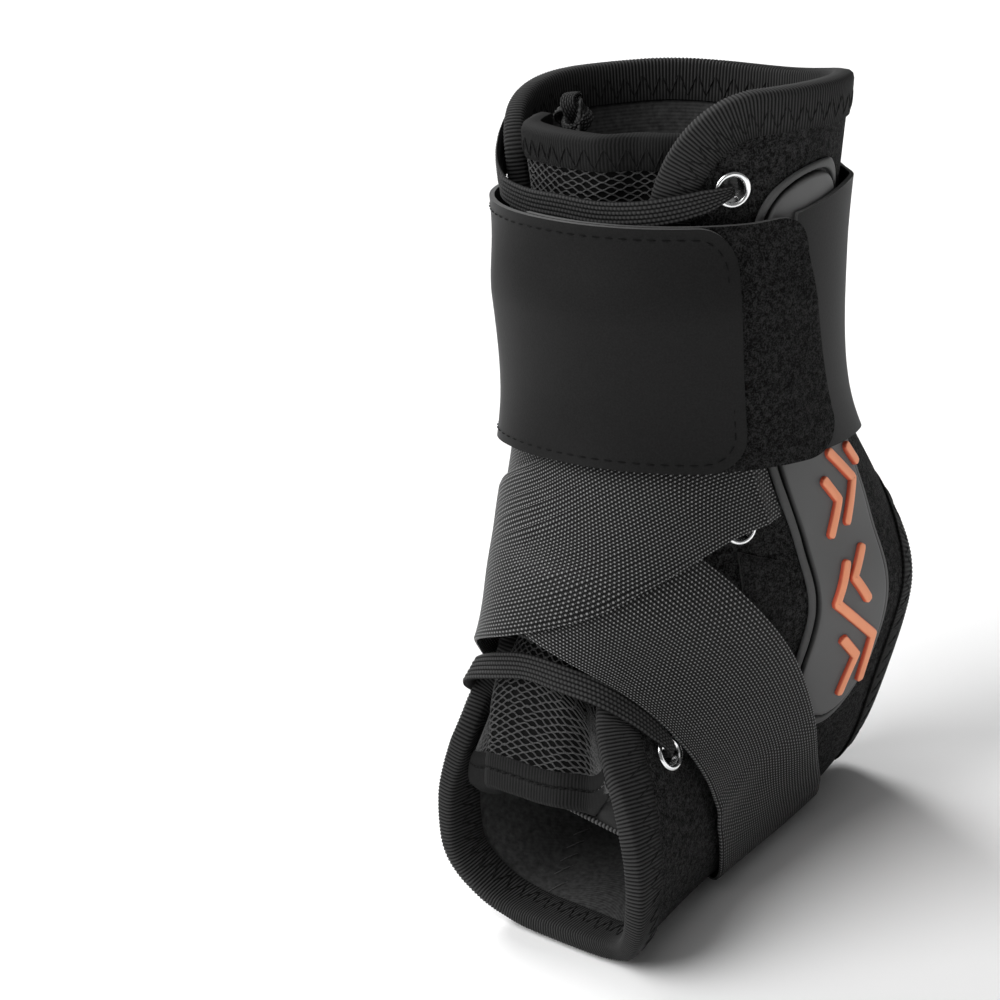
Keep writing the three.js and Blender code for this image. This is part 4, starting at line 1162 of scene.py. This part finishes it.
route = lace_route()
lace = lace_sweep("lace_run", *lace_frames(route), route[:, 3])
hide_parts("lace")
strand = np.array(SECOND_STRAND)
lace_sweep("lace_second_strand", *lace_frames(strand), strand[:, 3])

# %% Knot in the lace's tail
KNOT = {"station": 0.19, "degrees": -24, "offset": -17, "size": 2.3, "squat": 0.75, "deep": 2.2, "lean": 0.5,
        "width": 4.6, "bunched": 0.2, "points": 25}

turn = np.linspace(0, 2 * math.pi, KNOT["points"])
knot_middle = skin(KNOT["station"], float(KNOT["degrees"]), KNOT["offset"])
knot_normal, knot_along, _ = slopes(np.array(KNOT["station"]), np.array(float(KNOT["degrees"])))
knot_x = unit(knot_along)
knot_y = np.cross(knot_normal, knot_x)
knot_points = (knot_middle + KNOT["size"] * (np.sin(turn) + 2 * np.sin(2 * turn))[:, None] * knot_y
               + KNOT["squat"] * KNOT["size"] * (np.cos(turn) - 2 * np.cos(2 * turn))[:, None] * knot_x
               - KNOT["deep"] * np.sin(3 * turn)[:, None] * knot_normal)
knot_out = knot_points - knot_middle + KNOT["lean"] * knot_normal
knot_sides = unit(np.cross(np.gradient(knot_points, axis=0), knot_out))
lace_sweep("lace_knot", knot_points, knot_sides, np.full(len(turn), KNOT["bunched"]), KNOT["width"])

# %% [markdown]
# ## Straps, patches and cuff
# Straps are cut from webbing, the patches and the panel from loop cloth, and the flap and band from the
# laminate. All of them are thin layers laid on the surface along a line, with the height of what lies
# under them.

# %% Strips on the surface
LINE_SCALE = 30
LINE_NUDGE = 1 / 60


def line_on_surface(line):
    """A function from a share of a line of station and degrees to a place on it."""
    knots = np.array(line, float) / [1, LINE_SCALE]

    def at(share):
        place = through(knots, share)
        return place[..., 0], place[..., 1] * LINE_SCALE

    return at


def strip(line, share, across, half_width, offsets, aside=0.0):
    """Upper and under grids of a strip at shares along a line and across it, with cloth coordinates."""
    at = line_on_surface(line)
    station, degrees = at(share)
    tangent = unit(bare(*at(share + LINE_NUDGE)) - bare(*at(share - LINE_NUDGE)))
    sideways = np.cross(tangent, slopes(station, degrees)[0])
    run = lengths(bare(station, degrees))
    upper, under, cloth = [], [], []
    for v in across:
        reach = v * half_width(share) + aside
        where = walk(station, degrees, sideways, reach)
        low, high = offsets(*where, share, v)
        upper.append(skin(*where, high))
        under.append(skin(*where, low))
        cloth.append(np.stack([reach + np.zeros_like(run), run], -1))
    return np.stack(upper, 1), np.stack(under, 1), np.stack(cloth, 1)


# %% Straps
STRAP = {"half": 22, "thick": 1, "hem": 0.8, "hem_share": 0.965, "hem_rise": 0.004, "trim": 3.9,
         "crossing": 1.8, "side": 2, "sole": 1.1, "end": 2.2}
STRAP_TURNS = {"sole": (125, 155), "stay_foot": (5.45, 5.95), "stay_side": (80, 100), "crossing": (62, 78)}
STRAP_ROWS = 260
STRAP_COLUMNS = 45
HEM_SEAM_ROWS = 3
STRAP_LINE = [[6.2, 157], [6.2, 140], [6.05, 107], [5.4, 76], [4.68, 50], [3.22, 0], [2.38, -42], [2.19, -72]]
STRAP_EDGE = 0.97
SELVEDGE = -0.35
TAUT = 12


def taut(grid, normals):
    """Straightens a strip's long lines within its own face, as webbing lies when it is pulled tight."""
    reach = 3 * TAUT
    weight = np.exp(-0.5 * (np.arange(-reach, reach + 1) / TAUT) ** 2)
    before, after = 2 * grid[:1] - grid[reach:0:-1], 2 * grid[-1:] - grid[-2:-reach - 2:-1]
    padded = np.concatenate([before, grid, after])
    even = sum(share * padded[n:n + len(grid)] for n, share in enumerate(weight / weight.sum()))
    return even + ((grid - even) * normals).sum(-1, keepdims=True) * normals


def strap(name, side):
    def offsets(station, degrees, s, v):
        d = from_front(degrees)
        low = smooth(d, *STRAP_TURNS["sole"])
        below_stay = smooth(station, *STRAP_TURNS["stay_foot"]) * smooth(d, *STRAP_TURNS["stay_side"])
        on_trim = mix(mix(STRAP["trim"], STRAP["side"], below_stay), STRAP["sole"], low)
        base = on_trim + (STRAP["crossing"] * (1 - smooth(d, *STRAP_TURNS["crossing"])) if side < 0 else 0)
        base = mix(base, STRAP["end"], smooth(s, STRAP["hem_share"], 1))
        hem = STRAP["hem"] * smooth(s, STRAP["hem_share"], STRAP["hem_share"] + STRAP["hem_rise"])
        selvedge = SELVEDGE if abs(v) > STRAP_EDGE else 0
        return base, base + mix(STRAP["thick"], SOLE_LIFT - STRAP["sole"], low) + hem + selvedge

    def half_width(s):
        return STRAP["half"] + 0 * s

    line = [[station, side * degrees] for station, degrees in STRAP_LINE]
    along, across = np.linspace(0, 1, STRAP_ROWS + 1), np.linspace(-1, 1, STRAP_COLUMNS)
    upper, under, cloth = strip(line, along, across, half_width, offsets)
    normals = unit(upper - under)
    upper, under = taut(upper, normals), taut(under, normals)
    piece = cloth_piece(name + "_webbing", upper, under, [WEBBING], cloth)
    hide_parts(name)
    row = round(STRAP_ROWS * STRAP["hem_share"]) + HEM_SEAM_ROWS
    starts, ends = upper[row][1:-2:2], upper[row][2:-1:2]
    normals = unit(starts - under[row][1:-2:2])
    thread = make_piece(name + "_hem_thread", *laid_threads(starts, ends, normals), [PALE_THREAD])


strap("strap_outer", 1)
strap("strap_inner", -1)

# %% Loop patches
PATCH = {"front": 64, "back": 77, "top": 3.07, "slant": 0.2, "bottom": 4.7, "base": 0.3, "thick": 1}
PATCH_GRID = (25, 61)

# The patches' walls take the pale cut edge, which on loop cloth is a painted highlight.
for side, sign in (("outer", 1), ("inner", -1)):
    a = np.linspace(0, 1, PATCH_GRID[0])[:, None]
    b = np.linspace(0, 1, PATCH_GRID[1])[None]
    degrees = sign * mix(PATCH["front"], PATCH["back"], a)
    station = mix(PATCH["top"] + PATCH["slant"] * a, PATCH["bottom"], b)
    upper, under = (skin(station, degrees, PATCH["base"] + height) for height in (PATCH["thick"], 0))
    patch = cloth_piece(f"loop_patch_{side}", upper, under, [PANEL_LOOP, PANEL_LOOP, CUT_EDGE_AND_HIGHLIGHT],
                        grid_lengths(upper))
    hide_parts(f"patch_{side}")

# %% Cuff layers
# Each layer starts and ends at its two degrees. One end may be rounded, and the start may be cut aslant,
# so many degrees sooner at the top.
CUFF = {"top": 0.66, "rise": 0.14, "rises": (75, 125), "bottom": 2.34, "corner": (13, 0.28)}
BAND = {"base": 0.5, "rise": 2.5, "thick": 1.2, "ends": (88, 268), "rounded": None, "slant": 0}
PANEL = {"base": 3.3, "rise": 1.6, "thick": 1.3, "ends": (99, -10), "rounded": 99, "slant": 8,
         "rises": (72, 86)}
FLAP = {"base": 5, "rise": 1.9, "thick": 1.4, "ends": (65, -100), "rounded": 65, "slant": 0,
        "lifts": (0.2, 0.8), "crosses": (-50, -25)}
CUFF_GRID = (161, 57)
STAY_SIDES = ((58, 70), (124, 142))
STRAPS_UNDER = {"lift": 3.8, "share": 0.35}


def over_stay(d):
    front, back = STAY_SIDES
    return smooth(d, *front) * (1 - smooth(d, *back))


def over_straps(s):
    return STRAPS_UNDER["lift"] * smooth(s, 0, STRAPS_UNDER["share"])


def band_base(s, degrees):
    return BAND["base"] + BAND["rise"] * over_stay(from_front(degrees)) + 0 * s


def panel_base(s, degrees):
    straps = over_straps(s)
    return PANEL["base"] + mix(straps, np.maximum(straps, PANEL["rise"]), smooth(degrees, *PANEL["rises"]))


def flap_base(s, degrees):
    back = FLAP["rise"] * smooth(s, *FLAP["lifts"])
    return FLAP["base"] + mix(back, over_straps(s), smooth(degrees, *FLAP["crosses"]))


def cuff_top(degrees):
    return CUFF["top"] - CUFF["rise"] * smooth(from_front(degrees), *CUFF["rises"])


def cuff_place(degrees, share, rounded, inset=0.0):
    """Station at a share down the cuff, with one rounded end; inset moves in from the edges."""
    corner = 0
    if rounded is not None:
        width = CUFF["corner"][0] * (1 - inset / CUFF["corner"][1])
        reach = np.abs(degrees - rounded)
        corner = (CUFF["corner"][1] - inset) * quarter_round(reach, width)
    top = cuff_top(degrees)
    return mix(top + corner + inset, CUFF["bottom"] - corner - inset, share), top


def cuff_piece(name, cut, base, material, rests_on):
    """One layer of the cuff, cut as BAND, PANEL or FLAP says, at the height that base gives."""
    turn = np.linspace(0, 1, CUFF_GRID[0])
    if cut["rounded"] is not None:
        turn = 1 - np.cos(turn * math.pi / 2)
    degrees = mix(*cut["ends"], turn)[:, None]
    share = np.linspace(0, 1, CUFF_GRID[1])[None]
    station, top = cuff_place(degrees, share, cut["rounded"])
    degrees = degrees - cut["slant"] * (1 - share) * (1 - turn)[:, None]
    height = base((station - top) / (CUFF["bottom"] - top), degrees)
    upper, under = skin(station, degrees, height + cut["thick"]), skin(station, degrees, height)
    piece = cloth_piece(name + "_layer", upper, under, [material, material, CUT_EDGE_AND_HIGHLIGHT], grid_lengths(upper))
    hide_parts(name)
    return piece, upper, under, rests_on


band_sheet = cuff_piece("cuff_band", BAND, band_base, BAND_LAMINATE,
                        ["padded_shell", "stay_outer", "stay_inner"])
panel_sheet = cuff_piece("cuff_loop_panel", PANEL, panel_base, PANEL_LOOP,
                         ["cuff_band", "strap_outer", "strap_inner"])
flap_sheet = cuff_piece("cuff_flap", FLAP, flap_base, LAMINATE,
                        ["cuff_loop_panel", "cuff_band"])

# %% Stitch line round the flap
FLAP_INSET = 0.065
FLAP_INSET_DEGREES = 3.6
SEAM_END = -96
SEAM_SAMPLES = 300


def flap_seam():
    end = FLAP["rounded"] - FLAP_INSET_DEGREES
    along = mix(end, SEAM_END, 1 - np.cos(np.linspace(0, math.pi / 2, SEAM_SAMPLES)))
    top, _ = cuff_place(along, 0.0, end, FLAP_INSET)
    bottom, _ = cuff_place(along, 1.0, end, FLAP_INSET)
    station = np.concatenate([top[::-1], bottom])
    degrees = np.concatenate([along[::-1], along])
    top = cuff_top(degrees)
    height = flap_base((station - top) / (CUFF["bottom"] - top), degrees) + FLAP["thick"]
    return station, degrees, height


flap_thread = make_piece("flap_stitch_thread", *lockstitch(*flap_seam()), [THREAD])

# %% [markdown]
# ## Stays and chevrons
# A stay is a moulded strip with a low flange, a groove inside it and a flat raised face. Its top end is cut
# aslant, higher at the back. Its height only depends on the distance from its outline, so the profile is a
# short table. The chevrons are raised strokes with a flat top, steep sides and round ends.

# %% Stays
STAY = {"half": 17, "length": 168, "gap": 0.45, "slant": 0.55, "tip": 1e-5, "rows": 181}
STAY_LINE = [[0.36, 96], [1.1, 94], [1.92, 96], [2.83, 98.5], [4.03, 97.5], [5.25, 103]]
# Columns: distance in from the outline, height over the shell.
STAY_PROFILE = np.array([
    [0, 0.7], [0.25, 1.1], [0.7, 1.35], [1.9, 1.5], [2.2, 1.3], [2.4, 0.55], [3.0, 0.5], [3.2, 1.3],
    [3.35, 2.0], [3.75, 2.35], [4.6, 2.45], [17, 2.6],
])
STAY_ACROSS = np.concatenate([
    [-17], np.linspace(-16.95, -11, 26), np.linspace(-10.5, 10.5, 41), np.linspace(11, 16.95, 26), [17],
]) / STAY["half"]


def stay(name, side):
    length, half = STAY["length"], STAY["half"]

    def half_width(s):
        end = np.minimum(s, 1 - s) * length
        return half * np.sqrt(np.maximum(STAY["tip"], 1 - np.maximum(0, 1 - end / half) ** 2))

    def inside(s, v):
        """Millimetres in from the stay's outline."""
        end = np.minimum(s, 1 - s) * length
        across = np.abs(v) * half_width(s)
        return np.maximum(np.where(end < half, half - np.hypot(across, half - end), half - across), 0)

    def offsets(station, degrees, s, v):
        return STAY["gap"], np.interp(inside(s, v), *STAY_PROFILE.T)

    line = [[station, side * degrees] for station, degrees in STAY_LINE]
    share = 0.5 - 0.5 * np.cos(np.linspace(0, math.pi, STAY["rows"]))
    aside = -side * STAY["slant"] * np.where(share < 0.5, half - half_width(share), 0)
    upper, under, cloth = strip(line, share, STAY_ACROSS, half_width, offsets, aside)
    piece = cloth_piece(name + "_rubber", upper, under, [STAY_RUBBER], cloth)
    depth = np.tile(inside(share[:, None], STAY_ACROSS).ravel(), 2).astype(np.float32)
    piece.data.attributes.new("crown", "FLOAT", "POINT").data.foreach_set("value", depth)
    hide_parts(name)


stay("stay_outer", 1)
stay("stay_inner", -1)

# %% Chevrons
CHEVRON = {"half": 1.6, "thick": 1.35, "base": 2.35, "step": 0.35, "tip": 0.05, "rises": (0, 0.6),
           "crowns": (0.3, 0.9)}
# Columns: share of the half width, share of the height, crown, which paints shade on the sides. The last two
# points are underneath.
CHEVRON_SECTION = [[1, 0, 0], [0.96, 0.5, 0.2], [0.86, 0.85, 0.5], [0.66, 1, 1], [0, 1.03, 1], [-0.66, 1, 1],
                   [-0.86, 0.85, 0.5], [-0.96, 0.5, 0.2], [-1, 0, 0], [-0.9, -0.15, 0], [0.9, -0.15, 0]]
# Corners of each stroke: station, degrees.
CHEVRONS = [
    [[2.37, 110.5], [2.56, 114.2]],
    [[2.36, 99.5], [2.65, 108.5], [3.02, 99.2]],
    [[2.56, 94.5], [2.77, 98.8], [3.11, 92.2]],
    [[3.27, 103.2], [3.66, 96], [3.96, 101]],
    [[3.41, 95.5], [3.96, 90.5], [4.3, 106.5], [4.72, 110.8]],
    [[4.33, 94.8], [4.49, 103], [4.88, 105]],
]


def chevron(name, stroke, side):
    """One raised stroke: straight from corner to corner as it is seen, but at the stay's height."""
    corners = np.array(stroke, float) * [1, side]
    ends = skin(*corners.T, CHEVRON["base"])
    straight, run = evenly(ends, ends, CHEVRON["step"])
    places, _ = evenly(corners, ends, CHEVRON["step"])
    normal = slopes(*places.T)[0]
    lift = ((skin(*places.T, CHEVRON["base"]) - straight) * normal).sum(-1, keepdims=True)
    path = straight + lift * normal
    across = unit(np.cross(normal, np.gradient(path, axis=0)))
    end = np.minimum(run, run[-1] - run) + CHEVRON["tip"]
    taper = np.sqrt(1 - np.clip(1 - end / CHEVRON["half"], 0, 1) ** 2)
    rings, crowns = [], []
    for aside, rise, crown in CHEVRON_SECTION:
        rings.append(path + across * (CHEVRON["half"] * aside * taper)[:, None]
                     + normal * (CHEVRON["thick"] * rise * smooth(taper, *CHEVRON["rises"]))[:, None])
        # The crown fades at the round ends, so painted shade darkens them too.
        crowns.append(crown * smooth(taper, *CHEVRON["crowns"]))
    piece = swept_ring(name + "_stroke", np.stack(rings, 1), CHEVRON_RUBBER, False,
                       np.stack(crowns, 1).ravel())
    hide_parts(name)


for side, sign in (("outer", 1), ("inner", -1)):
    for n, stroke in enumerate(CHEVRONS, 1):
        chevron(f"chevron_{side}_{n}", stroke, sign)

# %% [markdown]
# ## Floor and light
# A pale floor under a broad soft lamp from the front left, a weaker one from behind on the left, which
# throws the shadow to the right, a white card by the camera that shows in the eyelets, and a dim white
# surround.

# %% Floor
FLOOR_REACH = 6.0
FLOOR_GRAIN = 400

corners = [(x * FLOOR_REACH, y * FLOOR_REACH, 0) for x, y in ((-1, -1), (1, -1), (1, 1), (-1, 1))]
floor_mesh = bpy.data.meshes.new("floor")
floor_mesh.from_pydata(corners, [], [(0, 1, 2, 3)])
floor_material, floor_tree = new_material("pale studio floor")
floor_noise = noise(floor_tree, FLOOR_GRAIN)
floor_tones = tones(floor_tree, floor_noise, 0, 1, "#f4f4f4", "#f7f7f7")
surface(floor_tree, floor_tones, floor_noise, 0.01, Roughness=0.9)
floor_mesh.materials.append(floor_material)
floor = bpy.data.objects.new("floor", floor_mesh)
bpy.context.scene.collection.objects.link(floor)

# %% Lamps
LAMP_AIM = (AIM + ORIGIN) * MM
SURROUND = 0.17
SUN_AWAY = 2.0
# Columns: name, degrees round from the toes over the outer side, degrees up, spread of the light, strength.
SUNS = [("key lamp", -28, 52, 55, 2.8), ("back lamp", -105, 38, 24, 2.2)]
CARD = {"round": 40, "up": 55, "away": 1.0, "size": 0.5, "watts": 0.7}


def towards(degrees_round, degrees_up):
    turn, up = math.radians(degrees_round), math.radians(degrees_up)
    return np.array([math.sin(turn) * math.cos(up), -math.cos(turn) * math.cos(up), math.sin(up)])


def place_lamp(name, kind, direction, away):
    lamp = bpy.data.lights.new(name, kind)
    holder = bpy.data.objects.new(name, lamp)
    bpy.context.scene.collection.objects.link(holder)
    holder.location = LAMP_AIM + away * direction
    holder.rotation_euler = Vector(direction).to_track_quat("Z", "Y").to_euler()
    return lamp


for name, degrees_round, degrees_up, angle, strength in SUNS:
    sun = place_lamp(name, "SUN", towards(degrees_round, degrees_up), SUN_AWAY)
    sun.angle = math.radians(angle)
    sun.energy = strength
card = place_lamp("white card", "AREA", towards(CARD["round"], CARD["up"]), CARD["away"])
card.size = CARD["size"]
card.energy = CARD["watts"]

world = bpy.data.worlds.new("white surround")
world.use_nodes = True
world.node_tree.nodes["Background"].inputs["Color"].default_value = linear("#ffffff")
world.node_tree.nodes["Background"].inputs["Strength"].default_value = SURROUND
bpy.context.scene.world = world
bpy.context.scene.view_settings.view_transform = "Standard"
print("lamps", len(SUNS) + 1)
